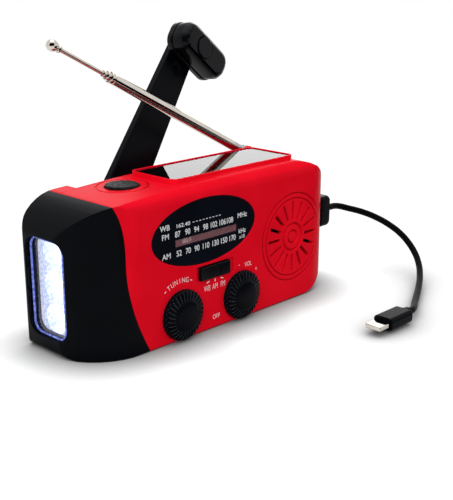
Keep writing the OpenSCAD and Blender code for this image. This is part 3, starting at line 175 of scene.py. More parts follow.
class Shading(NodeGraph):
    """One procedural material and the nodes that feed its shader."""

    def __init__(self, name: str) -> None:
        """Starts a material with one shader and the object's own coordinates.

        Args:
            name: The material's name.
        """
        self.material = bpy.data.materials.new(name)
        self.material.use_nodes = True
        super().__init__(self.material.node_tree)
        self.shader = self.tree.nodes["Principled BSDF"]
        self.place = self.node("ShaderNodeTexCoord").outputs["Object"]

    def set(self, **inputs: object) -> None:
        """Feeds the shader's inputs; an underscore in a name stands for a space."""
        for key, value in inputs.items():
            self.feed(self.shader.inputs[key.replace("_", " ")], value)

    def noise(self, size: float, detail: float = 3.0, stretch: Triple = (1, 1, 1)) -> Socket:
        """Adds soft noise.

        Args:
            size: Size of one patch in metres.
            detail: How many finer layers lie over it.
            stretch: How much denser the pattern runs along each axis.

        Returns:
            The noise value, 0 to 1.
        """
        mapping = self.node("ShaderNodeMapping", {"Vector": self.place, "Scale": stretch})
        inputs = {"Vector": mapping.outputs["Vector"], "Scale": 1 / size, "Detail": detail}
        return self.node("ShaderNodeTexNoise", inputs).outputs["Fac"]

    def cells(self, size: float) -> Socket:
        """Adds a pebbled pattern of cells of one size in metres."""
        texture = self.node("ShaderNodeTexVoronoi", {"Vector": self.place, "Scale": 1 / size})
        return texture.outputs["Distance"]

    def axis(self, letter: str) -> Socket:
        """Gives one coordinate of the object, in metres."""
        return self.node("ShaderNodeSeparateXYZ", {"Vector": self.place}).outputs[letter]

    def lines(self, along: Socket, pitch: float, width: float) -> Socket:
        """Draws thin parallel lines.

        Args:
            along: Coordinate across the lines.
            pitch: Distance between lines in metres.
            width: Width of a line in metres.

        Returns:
            1 on a line and 0 between lines.
        """
        turn = self.calc("FRACT", self.calc("DIVIDE", along, pitch))
        off = self.calc("ABSOLUTE", self.calc("SUBTRACT", turn, 0.5))
        return self.calc("LESS_THAN", off, width / pitch / 2)

    def mix(self, factor: object, first: object, second: object) -> Socket:
        """Mixes two colours by a factor."""
        return self.node("ShaderNodeMix", {0: factor, 6: first, 7: second}, data_type="RGBA").outputs[2]

    def bump(self, height: Socket, depth: float) -> Socket:
        """Gives the normal of a relief from its height, 0 to 1, and its depth in metres."""
        inputs = {"Height": height, "Distance": depth, "Strength": 1.0}
        return self.node("ShaderNodeBump", inputs).outputs["Normal"]

    def edge_rub_and_painted_highlight(self, radius: float) -> Socket:
        """Finds edges, where the rounded normal departs from the true one.

        Args:
            radius: Reach of the edge in metres.

        Returns:
            About 0 on a face and up to 1 on an edge.
        """
        soft = self.node("ShaderNodeBevel", {"Radius": radius}, samples=4).outputs["Normal"]
        true = self.node("ShaderNodeNewGeometry").outputs["Normal"]
        dot = self.node("ShaderNodeVectorMath", {0: soft, 1: true}, operation="DOT_PRODUCT")
        return self.spread(dot.outputs["Value"], 1.0, 0.0, (0.75, 0.995))

    def openness(self, reach: float, samples: int) -> Socket:
        """Gives 1 on an open face and less where a surface within reach shuts out light."""
        return self.node("ShaderNodeAmbientOcclusion", {"Distance": reach}, samples=samples).outputs["AO"]

    def painted_groove_shade(self, reach: float) -> Socket:
        """Finds grooves and corners for painted shade: 0 on an open face and up to 0.8 in a groove."""
        return self.spread(self.openness(reach, samples=6), 0.8, 0.0, (0.3, 0.85))


@dataclass(frozen=True)
class Surface:
    """A finish under its own name, which each kind of surface dresses in its own way."""

    name: str

    def dress(self, s: Shading) -> None:
        """Sets up the shader of the material."""
        raise NotImplementedError

    def build(self) -> bpy.types.Material:
        """Makes the material.

        Returns:
            The new material.
        """
        shading = Shading(self.name)
        self.dress(shading)
        return shading.material


@dataclass(frozen=True)
class MouldedPlastic(Surface):
    """Moulded plastic with fine grain, faint flow patches, edges paled by rubbing and painted highlight,
    and painted shade in grooves.
    """

    colour: Colour
    shade: Colour
    # edge colour is partly rubbing and partly a painted highlight on edges
    edge: Colour
    roughness: float = 0.34
    grain: float = 0.45 * MM
    relief: float = 0.006 * MM
    patch: float = 22 * MM
    specular: float = 0.4
    # groove colour is painted shade, laid into grooves and corners
    groove: Colour = (0.001, 0.001, 0.001, 1.0)
    rub_and_highlight_reach: float = 0.25 * MM
    painted_groove_shade_reach: float = 0.9 * MM
    rub_and_highlight_patch: float = 3 * MM
    rub_and_highlight_share: Pair = (0.2, 0.7)
    gloss_drift: Pair = (-0.04, 0.05)

    def dress(self, s: Shading) -> None:
        """Lays rubbed and painted-highlight edges, and painted shade in grooves, over the patchy body
        colour.

        Args:
            s: The material's nodes.
        """
        flow = s.noise(self.patch, 2.0)
        body = s.mix(s.spread(flow, 0.0, 1.0), self.shade, self.colour)
        share = s.spread(s.noise(self.rub_and_highlight_patch), *self.rub_and_highlight_share)
        # edges pale partly from rubbing and partly as painted highlight, as on the knob ribs
        rub_and_highlight_mask = s.calc("MULTIPLY", s.edge_rub_and_painted_highlight(self.rub_and_highlight_reach), share)
        rubbed_and_highlighted = s.mix(rub_and_highlight_mask, body, self.edge)
        # painted shade: grooves and corners darken towards the groove colour by an ambient-occlusion mask
        s.set(Base_Color=s.mix(s.painted_groove_shade(self.painted_groove_shade_reach), rubbed_and_highlighted, self.groove))
        s.set(Roughness=s.spread(flow, *(self.roughness + drift for drift in self.gloss_drift)))
        s.set(Normal=s.bump(s.noise(self.grain, 2.0), self.relief), Specular_IOR_Level=self.specular)


@dataclass(frozen=True)
class Stipple(Surface):
    """Soft-touch plastic with a pebbled face and pale flecks."""

    colour: Colour
    fleck: Colour
    pebble: float = 0.75 * MM
    relief: float = 0.12 * MM
    gloss: Pair = (0.4, 0.65)
    specular: float = 0.1

    def dress(self, s: Shading) -> None:
        """Raises the pebbles and scatters the flecks.

        Args:
            s: The material's nodes.
        """
        pebble = s.cells(self.pebble)
        fleck = s.spread(s.noise(self.pebble, 3.0), 0.0, 0.8, (0.52, 0.72))
        s.set(Base_Color=s.mix(fleck, self.colour, self.fleck), Roughness=s.spread(pebble, *self.gloss))
        s.set(Normal=s.bump(pebble, self.relief), Specular_IOR_Level=self.specular)


@dataclass(frozen=True)
class Metal(Surface):
    """Drawn, plated or rolled metal with fine streaks and faint tarnish."""

    colour: Colour
    tarnish: Colour
    roughness: float = 0.16
    streak: Triple = (1, 1, 1)
    relief: float = 0.002 * MM
    streak_size: float = 0.5 * MM
    cloud_size: float = 6 * MM

    def dress(self, s: Shading) -> None:
        """Clouds the metal with tarnish and draws the streaks.

        Args:
            s: The material's nodes.
        """
        streak = s.noise(self.streak_size, 2.0, self.streak)
        cloud = s.spread(s.noise(self.cloud_size, 4.0), 0.0, 0.6, (0.45, 0.75))
        s.set(Base_Color=s.mix(cloud, self.colour, self.tarnish), Metallic=1.0)
        s.set(Roughness=s.spread(streak, self.roughness * 0.6, self.roughness * 1.5))
        s.set(Normal=s.bump(streak, self.relief))


@dataclass(frozen=True)
class ClearPlastic(Surface):
    """Clear moulded plastic with a faint flow ripple and haze."""

    tint: Colour
    haze: Pair = (0.02, 0.07)
    ripple: float = 0.004 * MM
    patch: float = 9 * MM
    index: float = 1.49

    def dress(self, s: Shading) -> None:
        """Lets light through, with a tint that follows the flow.

        Args:
            s: The material's nodes.
        """
        flow = s.noise(self.patch, 2.0)
        s.set(Base_Color=s.mix(s.spread(flow, 0.0, 0.35), WHITE, self.tint))
        s.set(Roughness=s.spread(flow, *self.haze), Normal=s.bump(flow, self.ripple))
        s.set(Transmission_Weight=1.0, IOR=self.index)


@dataclass(frozen=True)
class TintedPane(Surface):
    """Thin tinted pane that lets through what moves close behind it."""

    tint: Colour
    cloud: Colour
    cover: Pair = (0.22, 0.28)
    gloss: Pair = (0.1, 0.2)
    patch: float = 5 * MM
    specular: float = 0.05

    def dress(self, s: Shading) -> None:
        """Covers what lies behind with a thin, cloudy tint.

        Args:
            s: The material's nodes.
        """
        flow = s.noise(self.patch, 2.0)
        s.set(Base_Color=s.mix(s.spread(flow, 0.0, 1.0), self.tint, self.cloud))
        s.set(Roughness=s.spread(flow, *self.gloss), Alpha=s.spread(flow, *self.cover))
        s.set(Specular_IOR_Level=self.specular)


@dataclass(frozen=True)
class SolarFilm(Surface):
    """Dark blue solar cells with collector fingers, bus bars and gaps between cells."""

    navy: Colour
    violet: Colour
    silver: Colour
    gap: Colour
    cell: float = 8.2 * MM
    finger: float = 1.25 * MM
    bus: float = 8.0 * MM
    gap_width: float = 0.5 * MM
    finger_width: float = 0.1 * MM
    bus_width: float = 0.45 * MM
    crystal: float = 2.6 * MM
    cover: float = 0.75
    relief: float = 0.01 * MM
    coat_gloss: float = 0.012

    def dress(self, s: Shading) -> None:
        """Prints fingers and bus bars on the film and parts its cells.

        Args:
            s: The material's nodes.
        """
        x, y = s.axis("X"), s.axis("Y")
        crystal = s.spread(s.noise(self.crystal, 3.0), 0.0, 1.0)
        film = s.mix(crystal, self.navy, self.violet)
        bars = s.lines(y, self.bus, self.bus_width)
        fine = s.calc("MAXIMUM", s.lines(x, self.finger, self.finger_width), bars)
        printed = s.mix(s.calc("MULTIPLY", fine, self.cover), film, self.silver)
        s.set(Base_Color=s.mix(s.lines(x, self.cell, self.gap_width), printed, self.gap))
        s.set(Roughness=s.spread(crystal, 0.1, 0.2), Normal=s.bump(fine, self.relief))
        s.set(Coat_Weight=1.0, Coat_Roughness=self.coat_gloss, Specular_IOR_Level=0.25)


@dataclass(frozen=True)
class LampAndPaintedGlow(Surface):
    """A lit diode, or a part whose emission is painted light from the lamp; white, bluish where it thins
    out.
    """

    core: Colour
    rim: Colour
    strength: float
    facet: float = 1.1 * MM
    relief: float = 0.08 * MM

    def dress(self, s: Shading) -> None:
        """Lights the facets from their core to their rim.

        Args:
            s: The material's nodes.
        """
        facet = s.spread(s.cells(self.facet), 0.0, 1.0, (0.1, 0.8))
        light = s.mix(facet, self.core, self.rim)
        s.set(Base_Color=light, Emission_Color=light, Emission_Strength=self.strength, Metallic=0.6)
        s.set(Roughness=s.spread(facet, 0.08, 0.22), Normal=s.bump(facet, self.relief))


@dataclass(frozen=True)
class Ink(Surface):
    """Screen-printed ink, a little uneven in cover and gloss."""

    colour: Colour
    thin: Colour
    patch: float = 0.6 * MM
    relief: float = 0.004 * MM

    def dress(self, s: Shading) -> None:
        """Lays the ink on unevenly.

        Args:
            s: The material's nodes.
        """
        cover = s.noise(self.patch, 3.0)
        s.set(Base_Color=s.mix(s.spread(cover, 0.0, 0.6), self.colour, self.thin))
        s.set(Roughness=s.spread(cover, 0.4, 0.6), Normal=s.bump(cover, self.relief))


@dataclass(frozen=True)
class CircuitBoard(Surface):
    """Green board with tracks and tinned pads."""

    mask: Colour
    track: Colour
    tin: Colour
    track_size: float = 4 * MM
    track_run: Triple = (1, 0.2, 3)
    pad_pitch: float = 3.2 * MM
    pad_share: float = 0.16
    relief: float = 0.03 * MM

    def dress(self, s: Shading) -> None:
        """Lays tracks under the mask and tin on the pads.

        Args:
            s: The material's nodes.
        """
        track = s.spread(s.noise(self.track_size, 0.0, self.track_run), 0.0, 1.0, (0.48, 0.5))
        pad = s.calc("LESS_THAN", s.cells(self.pad_pitch), self.pad_share)
        s.set(Base_Color=s.mix(pad, s.mix(track, self.mask, self.track), self.tin), Metallic=pad)
        s.set(Roughness=s.spread(pad, 0.4, 0.22, (0, 1)), Normal=s.bump(track, self.relief))


@dataclass(frozen=True)
class Banded(Surface):
    """A wound or wrapped surface with bands across one axis."""

    colour: Colour
    groove: Colour
    across: str
    pitch: float
    relief: float
    metallic: float = 0.0
    roughness: float = 0.4
    cloud: float = 2 * MM

    def dress(self, s: Shading) -> None:
        """Raises the bands and darkens the grooves between them.

        Args:
            s: The material's nodes.
        """
        turn = s.calc("MULTIPLY", s.axis(self.across), 2 * math.pi / self.pitch)
        crest = s.spread(s.calc("SINE", turn), 0.0, 1.0, (-1, 1))
        cloud = s.spread(s.noise(self.cloud), -0.06, 0.06)
        s.set(Base_Color=s.mix(crest, self.groove, self.colour), Metallic=self.metallic)
        s.set(Roughness=s.calc("ADD", cloud, self.roughness), Normal=s.bump(crest, self.relief))


@dataclass(frozen=True)
class Matt(Surface):
    """A dull mineral or fibre surface with a coarse, uneven face."""

    colour: Colour
    speck: Colour
    grain: float
    relief: float
    roughness: float = 0.75
    specular: float = 0.3

    def dress(self, s: Shading) -> None:
        """Specks and roughens the face.

        Args:
            s: The material's nodes.
        """
        grain = s.noise(self.grain, 5.0)
        s.set(Base_Color=s.mix(s.spread(grain, 0.0, 1.0), self.colour, self.speck))
        s.set(Roughness=s.spread(grain, self.roughness - 0.1, self.roughness + 0.1))
        s.set(Normal=s.bump(grain, self.relief), Specular_IOR_Level=self.specular)


class Finish(Enum):
    """Every finish on the radio."""

    # red plastic; its groove colour is painted shade in the grooves round the grille and controls
    RED = MouldedPlastic(
        "red_plastic", srgb(238, 16, 38), srgb(228, 10, 32), srgb(244, 44, 64),
        roughness=0.3, specular=0.016, groove=srgb(196, 8, 26),
    )
    BLACK = MouldedPlastic(
        "matt_black", srgb(6, 7, 11), srgb(3, 4, 7), srgb(40, 43, 50), roughness=0.3, specular=0.04
    )
    GLOSS = MouldedPlastic(
        "gloss_black_plastic", srgb(8, 9, 13), srgb(5, 6, 9), srgb(66, 70, 80),
        roughness=0.2, relief=0.002 * MM, specular=0.11,
    )
    # knob: the pale bluish-grey edge colour is a painted highlight on the rib edges
    KNOB = MouldedPlastic(
        "knob_plastic", srgb(7, 8, 14), srgb(4, 5, 10), srgb(136, 142, 152),
        roughness=0.2, relief=0.002 * MM, specular=0.03,
    )
    PALE = MouldedPlastic(
        "pale_moulding", srgb(226, 220, 206), srgb(206, 200, 188), srgb(240, 238, 230), roughness=0.45
    )
    POINTER = MouldedPlastic(
        "pointer_plastic", srgb(252, 246, 240), srgb(240, 232, 226), srgb(255, 252, 248), roughness=0.4
    )
    RUBBER = MouldedPlastic(
        "lead_rubber", srgb(9, 9, 11), srgb(6, 6, 8), srgb(24, 25, 28),
        roughness=0.4, relief=0.012 * MM, specular=0.03,
    )
    DIAL = MouldedPlastic(
        "dial_black", srgb(9, 10, 14), srgb(16, 19, 28), srgb(96, 100, 110),
        roughness=0.2, relief=0.001 * MM, patch=30 * MM, specular=0.03,
    )
    BUTTON = Stipple("button_stipple", srgb(9, 10, 12), srgb(62, 67, 68))
    CHROME = Metal("chrome_plate", srgb(208, 202, 193), srgb(178, 170, 160), roughness=0.06)
    STEEL = Metal(
        "rolled_steel", srgb(176, 176, 178), srgb(140, 138, 134),
        roughness=0.28, streak=(1, 8, 1), relief=0.004 * MM,
    )
    BRASS = Metal(
        "turned_brass", srgb(204, 166, 92), srgb(160, 118, 60),
        roughness=0.25, streak=(1, 6, 1), relief=0.004 * MM,
    )
    SOLAR_GLASS = ClearPlastic(
        "solar_glass", srgb(232, 238, 246), haze=(0.0, 0.012), ripple=0.0005 * MM
    )
    LENS = ClearPlastic("lamp_lens_clear", srgb(206, 220, 255), haze=(0.0, 0.05), ripple=0.03 * MM)
    DIAL_PANE = TintedPane("dial_pane", srgb(188, 130, 140), srgb(178, 122, 132))
    SOLAR = SolarFilm(
        "solar_film", srgb(16, 22, 52), srgb(30, 34, 74), srgb(150, 156, 168), srgb(6, 8, 16)
    )
    LED = LampAndPaintedGlow("lit_diode", WHITE, (0.86, 0.93, 1, 1), strength=1.6)
    # the reflector bowls and the lens bead are no lamps: their emission is painted light from the diodes
    BOWL = LampAndPaintedGlow("painted_glow_reflector", WHITE, (0.46, 0.56, 0.95, 1), strength=0.64)
    LIP = LampAndPaintedGlow("painted_glow_lip", (0.2, 0.26, 0.75, 1), (0.06, 0.08, 0.3, 1), strength=0.5)
    INK = Ink("white_ink", srgb(238, 238, 240), srgb(206, 206, 210))
    BOARD = CircuitBoard("circuit_board", srgb(22, 92, 52), srgb(34, 118, 66), srgb(196, 196, 192))
    WINDING = Banded(
        "copper_winding", srgb(190, 112, 60), srgb(88, 44, 24), "X",
        pitch=0.4 * MM, relief=0.12 * MM, metallic=0.8,
    )
    CELL = Banded(
        "cell_sleeve", srgb(44, 92, 164), srgb(38, 84, 152), "X", pitch=16 * MM, relief=0.01 * MM
    )
    CORD = Banded(
        "dial_thread", srgb(214, 206, 186), srgb(150, 142, 120), "X", pitch=0.5 * MM, relief=0.08 * MM
    )
    FERRITE = Matt("ferrite_core", srgb(52, 52, 56), srgb(30, 30, 34), grain=0.7 * MM, relief=0.06 * MM)
    PAPER = Matt(
        "cone_paper", srgb(28, 28, 30), srgb(16, 16, 18),
        grain=0.5 * MM, relief=0.08 * MM, roughness=0.85,
    )

    @property
    def material(self) -> bpy.types.Material:
        """The finish's material, made the first time it is asked for."""
        return bpy.data.materials.get(self.value.name) or self.value.build()


def new_object(name: str, bm: Mesh) -> Piece:
    """Turns a bmesh into a scene object with smooth faces and sharp edges.

    Args:
        name: The piece's name.
        bm: The mesh, which is freed.

    Returns:
        The new object.
    """
    bmesh.ops.recalc_face_normals(bm, faces=bm.faces[:])
    for face in bm.faces:
        face.smooth = True
    for edge in bm.edges:
        edge.smooth = len(edge.link_faces) == 2 and edge.calc_face_angle(0.0) < SHARP
    mesh = bpy.data.meshes.new(name)
    bm.to_mesh(mesh)
    bm.free()
    made = bpy.data.objects.new(name, mesh)
    bpy.context.scene.collection.objects.link(made)
    return made


def fit(piece: Piece, body: str, finish: Finish, replaces: Sequence[str] = ()) -> Piece:
    """Gives a piece its finish and fixes it to a body.

    Args:
        piece: The piece.
        body: The CAD body that it rides on.
        finish: The finish on it.
        replaces: CAD nodes that it stands for.

    Returns:
        The same piece.
    """
    piece.data.materials.clear()
    piece.data.materials.append(finish.material)
    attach(piece, body)
    if replaces:
        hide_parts(*replaces)
    LOG.info("%s rides on %s", piece.name, body)
    return piece


def recast(node: str, finish: Finish, edge: float, steps: int = 2) -> Piece:
    """Makes a clean copy of a CAD node with rounded edges, and stands it in the node's place.

    Args:
        node: The CAD node.
        finish: The finish on the piece.
        edge: Width of the rounding on sharp edges, in metres.
        steps: Segments in the rounding.

    Returns:
        The new piece.
    """
    bm = bmesh.new()
    bm.from_mesh(NODES[node].data)
    bmesh.ops.remove_doubles(bm, verts=bm.verts[:], dist=WELD)
    bmesh.ops.dissolve_limit(bm, angle_limit=FLAT, verts=bm.verts[:], edges=bm.edges[:])
    piece = new_object(f"{node}_skin", bm)
    bevel = piece.modifiers.new("edge", "BEVEL")
    bevel.width = edge
    bevel.segments = steps
    bevel.limit_method = "ANGLE"
    bevel.angle_limit = SHARP
    bevel.use_clamp_overlap = False
    shading = piece.modifiers.new("shading", "WEIGHTED_NORMAL")
    shading.keep_sharp = True
    return fit(piece, BODY_OF[node], finish, [node])


def keep(node: str, finish: Finish) -> None:
    """Gives a CAD node that stays in the scene its finish.

    Args:
        node: The CAD node.
        finish: The finish on it.
    """
    slots = NODES[node].data.materials
    slots.clear()
    slots.append(finish.material)
    LOG.info("%s keeps its CAD shape", node)


def lathe(profile: Sequence[Pair], start: Vector, along: Vector, steps: int = 48) -> Mesh:
    """Turns a profile about an axis.

    Args:
        profile: Radius and distance along the axis of each corner, in metres.
        start: Point that distance 0 stands for.
        along: Direction of the axis.
        steps: Corners round the axis.

    Returns:
        A closed mesh, capped at both ends.
    """
    bm = bmesh.new()
    turn = along.normalized().to_track_quat("Z", "Y").to_matrix()
    angles = [2 * math.pi * k / steps for k in range(steps)]
    rings = []
    for radius, rise in profile:
        points = [Vector((radius * math.cos(a), radius * math.sin(a), rise)) for a in angles]
        rings.append([bm.verts.new(start + turn @ p) for p in points])
    join_rings(bm, rings)
    return bm


def join_rings(bm: Mesh, rings: Sequence[Sequence[bmesh.types.BMVert]], closed: bool = False) -> None:
    """Skins rings of equal count in turn.

    Args:
        bm: The mesh that holds the rings.
        rings: Rings of vertices, in order.
        closed: Whether the last ring joins the first; if not, both ends are capped.
    """
    count = len(rings[0])
    following = rings[1:] + rings[:1] if closed else rings[1:]
    for low, high in zip(rings, following):
        for k in range(count):
            n = (k + 1) % count
            bm.faces.new((low[k], low[n], high[n], high[k]))
    if not closed:
        bm.faces.new(list(reversed(rings[0])))
        bm.faces.new(list(rings[-1]))


def join_meshes(parts: Sequence[Mesh]) -> Mesh:
    """Puts several meshes into one.

    Args:
        parts: The meshes, which are freed.

    Returns:
        One mesh with all their faces.
    """
    whole = bmesh.new()
    for part in parts:
        mesh = bpy.data.meshes.new("part")
        part.to_mesh(mesh)
        part.free()
        whole.from_mesh(mesh)
        bpy.data.meshes.remove(mesh)
    return whole


@dataclass(frozen=True)
class SoftBox:
    """A soft lamp that faces the radio; a radiance of 1 is a white face."""

    name: str
    place: Triple
    size: Pair
    radiance: float
    glossy: bool = True
    target: Triple = (0, 0, 0.03)

    def build(self) -> None:
        """Hangs the lamp, out of the camera's sight."""
        data = bpy.data.lights.new(self.name, "AREA")
        data.shape = "RECTANGLE"
        data.size, data.size_y = self.size
        data.energy = self.radiance * math.pi * self.size[0] * self.size[1]
        lamp = bpy.data.objects.new(self.name, data)
        lamp.location = self.place
        facing = Vector(self.target) - Vector(self.place)
        lamp.rotation_euler = facing.to_track_quat("-Z", "Y").to_euler()
        lamp.visible_camera = False
        lamp.visible_glossy = self.glossy
        bpy.context.scene.collection.objects.link(lamp)


@dataclass
class Studio:
    """Camera, white floor, soft lamps and black cards; places and sizes in metres."""

    eye: Triple = (-0.2453, -0.2580, 0.1346)
    aim: Triple = (0.68494, 0.66731, -0.29251)
    lens: float = 67.48
    clip: Pair = (0.01, 100)
    floor_radius: float = 1.2
    floor_sides: int = 96
    floor_sink: float = 0.05 * MM
    floor_glow: float = 0.87
    floor_patch: float = 0.4
    painted_shadow_reach: float = 18 * MM
    painted_shadow_power: float = 2.6
    ambient: float = 0.42
    flag_back: float = 0.35
    flag_size: Pair = (1.5, 0.95)
    card_place: Triple = (0.25, -0.29, 0.5 * MM)
    card_size: Pair = (0.56, 0.42)
    lamps: tuple[SoftBox, ...] = (
        SoftBox("overhead", (0.0, 0.1, 1.5), (1.5, 1.5), 1.25),
        SoftBox("front_left", (-1.3, -1.3, 1.1), (1.8, 1.4), 3.9, glossy=False),
        SoftBox("behind", (1.03, 1.0, 0.52), (1.3, 0.8), 0.98),
    )

    def build_camera(self) -> None:
        """Sets the camera at the photograph's viewing angle."""
        data = bpy.data.cameras.new("camera")
        data.lens = self.lens
        data.clip_start, data.clip_end = self.clip
        camera = bpy.data.objects.new("camera", data)
        camera.location = self.eye
        camera.rotation_euler = Vector(self.aim).to_track_quat("-Z", "Y").to_euler()
        bpy.context.scene.collection.objects.link(camera)
        bpy.context.scene.camera = camera
        bpy.context.scene.view_settings.view_transform = "Standard"

    def build(self) -> None:
        """Sets up the room round the radio."""
        self.build_floor()
        self.build_world()
        for lamp in self.lamps:
            lamp.build()
        self.build_flags()

    def build_floor(self) -> None:
        """Lays a pale floor that looks white to the eye, in gloss and through clear plastic, with a
        painted shadow darkening it near the radio.
        """
        bm = bmesh.new()
        bmesh.ops.create_circle(
            bm, cap_ends=True, segments=self.floor_sides, radius=self.floor_radius
        )
        floor = new_object("floor", bm)
        floor.location.z = CAD_BOX[0].z - self.floor_sink
        s = Shading("floor_white")
        # painted shadow: an ambient-occlusion mask dims the floor's white emission near the radio
        shade = s.calc("POWER", s.openness(self.painted_shadow_reach, samples=16), self.painted_shadow_power)
        glow_with_painted_shadow = s.calc("MULTIPLY", s.seen(), s.calc("MULTIPLY", shade, self.floor_glow))
        tone = s.spread(s.noise(self.floor_patch, 2.0), 0.0, 1.0)
        s.set(Base_Color=s.mix(tone, srgb(122, 122, 123), srgb(126, 126, 126)), Roughness=0.9)
        s.set(Specular_IOR_Level=0.0, Emission_Color=WHITE, Emission_Strength=glow_with_painted_shadow)
        floor.data.materials.append(s.material)

    def build_world(self) -> None:
        """Fills the room with even light, white where it is seen."""
        world = bpy.data.worlds.new("room")
        world.use_nodes = True
        bpy.context.scene.world = world
        graph = NodeGraph(world.node_tree)
        background = world.node_tree.nodes["Background"]
        graph.feed(background.inputs["Color"], WHITE)
        level = graph.spread(graph.seen(), self.ambient, 1.0, (0.0, 1.0))
        graph.feed(background.inputs["Strength"], level)

    def build_flags(self) -> None:
        """Hangs a black card behind the camera and lays one in front of the radio."""
        back = Vector(self.eye) - self.flag_back * Vector(self.aim)
        self.build_flag("flag", back, Vector(self.aim), self.flag_size)
        self.build_flag("card", Vector(self.card_place), Vector((0, 0, -1)), self.card_size)

    @staticmethod
    def build_flag(name: str, place: Vector, facing: Vector, size: Pair) -> None:
        """Sets up a black card that only shows in gloss, as a dark line on bright metal.

        Args:
            name: The card's name.
            place: Its middle, in metres.
            facing: The direction that it looks in.
            size: Its width and height in metres.
        """
        bm = bmesh.new()
        bmesh.ops.create_grid(bm, x_segments=1, y_segments=1, size=0.5)
        bmesh.ops.scale(bm, vec=(*size, 1.0), verts=bm.verts[:])
        flag = new_object(name, bm)
        flag.location = place
        flag.rotation_euler = facing.to_track_quat("-Z", "Y").to_euler()
        s = Shading(f"{name}_black")
        s.set(Base_Color=s.mix(s.noise(0.05), srgb(4, 4, 5), srgb(8, 8, 9)), Roughness=1.0)
        s.set(Specular_IOR_Level=0.0)
        flag.data.materials.append(s.material)
        flag.visible_camera = flag.visible_diffuse = False
        flag.visible_shadow = flag.visible_transmission = False


@dataclass
class ChargingLead:
    """The charging lead: plug, cable and small connector. Its route is in millimetres."""

    diameter: float = 2.8 * MM
    round_steps: int = 6
    knot_steps: int = 10
    route: tuple[Triple, ...] = (
        (75.2, -6.8, 30.2), (77.2, -6.8, 30.2), (83.4, -7.2, 29.9), (88, -10.4, 28.5),
        (93, -14.8, 26.6), (97.5, -19.2, 24), (101.4, -24, 20.6), (103.8, -28.4, 17),
        (104.6, -32.4, 13.4), (103.4, -36.8, 9.8), (99.6, -41.6, 6.6), (92.6, -47, 4),
        (83, -52.8, 2.6), (72, -58.8, 2.2), (64, -63.2, 2.6), (58.6, -66.4, 3.1),
        (54.4, -68, 3.5), (52, -68, 3.5),
    )

    def build(self) -> None:
        """Lays the cable along its route and puts its two ends on."""
        curve = bpy.data.curves.new("lead_cable", "CURVE")
        curve.dimensions = "3D"
        curve.bevel_depth = self.diameter / 2
        curve.bevel_resolution = self.round_steps
        curve.resolution_u = self.knot_steps
        curve.use_fill_caps = True
        spline = curve.splines.new("BEZIER")
        spline.bezier_points.add(len(self.route) - 1)
        for knot, place in zip(spline.bezier_points, self.route):
            knot.co = Vector(place) * MM
            knot.handle_left_type = knot.handle_right_type = "AUTO"
        cable = bpy.data.objects.new("lead_cable", curve)
        bpy.context.scene.collection.objects.link(cable)
        bpy.context.view_layer.update()
        fit(cable, "lead", Finish.RUBBER, ["usb_cable"])
        ends = [
            recast("usb_plug", Finish.BLACK, edge=0.7 * MM, steps=3),
            recast("plug_shell", Finish.CHROME, edge=0.12 * MM),
            recast("phone_connector", Finish.BLACK, edge=0.4 * MM, steps=3),
            recast("connector_tip", Finish.CHROME, edge=0.25 * MM),
        ]


@dataclass
class Lettering:
    """Print on an upright face that looks to the front."""

    name: str
    face: float
    film: float = 0.02 * MM
    weight: float = 0.018
    parts: list[Mesh] = field(default_factory=list)

    def cap_height(self) -> float:
        """Measures a capital letter.

        Returns:
            The letter's height in a font of size 1.
        """
        curve = bpy.data.curves.new("capital", "FONT")
        curve.body = "H"
        capital = bpy.data.objects.new("capital", curve)
        bpy.context.scene.collection.objects.link(capital)
        bpy.context.view_layer.update()
        tall = capital.dimensions.y
        bpy.data.objects.remove(capital)
        bpy.data.curves.remove(curve)
        return tall

    def word(
        self, text: str, x: float, z: float, tall: float, turn: float = 0.0, wide: float = 1.0
    ) -> None:
        """Prints a word about its own middle.

        Args:
            text: The letters.
            x: Middle of the word in millimetres.
            z: Middle of the word in millimetres.
            tall: Height of a capital in millimetres.
            turn: Turn to the left in degrees.
            wide: Stretch along the word.
        """
        curve = bpy.data.curves.new("word", "FONT")
        curve.body = text
        curve.align_x = "CENTER"
        curve.size = tall * MM / self.cap_height()
        curve.offset = self.weight * tall * MM
        curve.extrude = self.film / 2
        carrier = bpy.data.objects.new("word", curve)
        bpy.context.scene.collection.objects.link(carrier)
        graph = bpy.context.evaluated_depsgraph_get()
        mesh = bpy.data.meshes.new_from_object(carrier.evaluated_get(graph))
        part = bmesh.new()
        part.from_mesh(mesh)
        part.transform(Matrix.Translation((0, -tall * MM / 2, 0)))
        part.transform(Matrix.Diagonal((wide, 1, 1, 1)))
        self.place(part, x, z, turn)
        bpy.data.objects.remove(carrier)
        bpy.data.curves.remove(curve)
        bpy.data.meshes.remove(mesh)

    def bar(self, x: float, z: float, long: float, tall: float, turn: float = 0.0) -> None:
        """Prints a small bar about its own middle.

        Args:
            x: Middle of the bar in millimetres.
            z: Middle of the bar in millimetres.
            long: Length in millimetres.
            tall: Height in millimetres.
            turn: Turn to the left in degrees.
        """
        part = bmesh.new()
        bmesh.ops.create_cube(part, size=1.0)
        part.transform(Matrix.Diagonal((long * MM, tall * MM, self.film, 1)))
        self.place(part, x, z, turn)

    def place(self, part: Mesh, x: float, z: float, turn: float) -> None:
        """Stands a flat part up on the face, turned about its middle.

        Args:
            part: The part, lying flat about the origin.
            x: Where its middle goes, in millimetres.
            z: Where its middle goes, in millimetres.
            turn: Turn to the left in degrees.
        """
        spin = Matrix.Rotation(math.radians(turn), 4, "Z")
        stand = Matrix.Rotation(math.radians(90), 4, "X")
        spot = Matrix.Translation((x * MM, self.face - self.film / 4, z * MM))
        part.transform(spot @ stand @ spin)
        self.parts.append(part)

    def build(self, slot: Slot) -> None:
        """Joins the print into one piece on the body."""
        piece = new_object(self.name, join_meshes(self.parts))
        fit(piece, "body", Finish.INK)


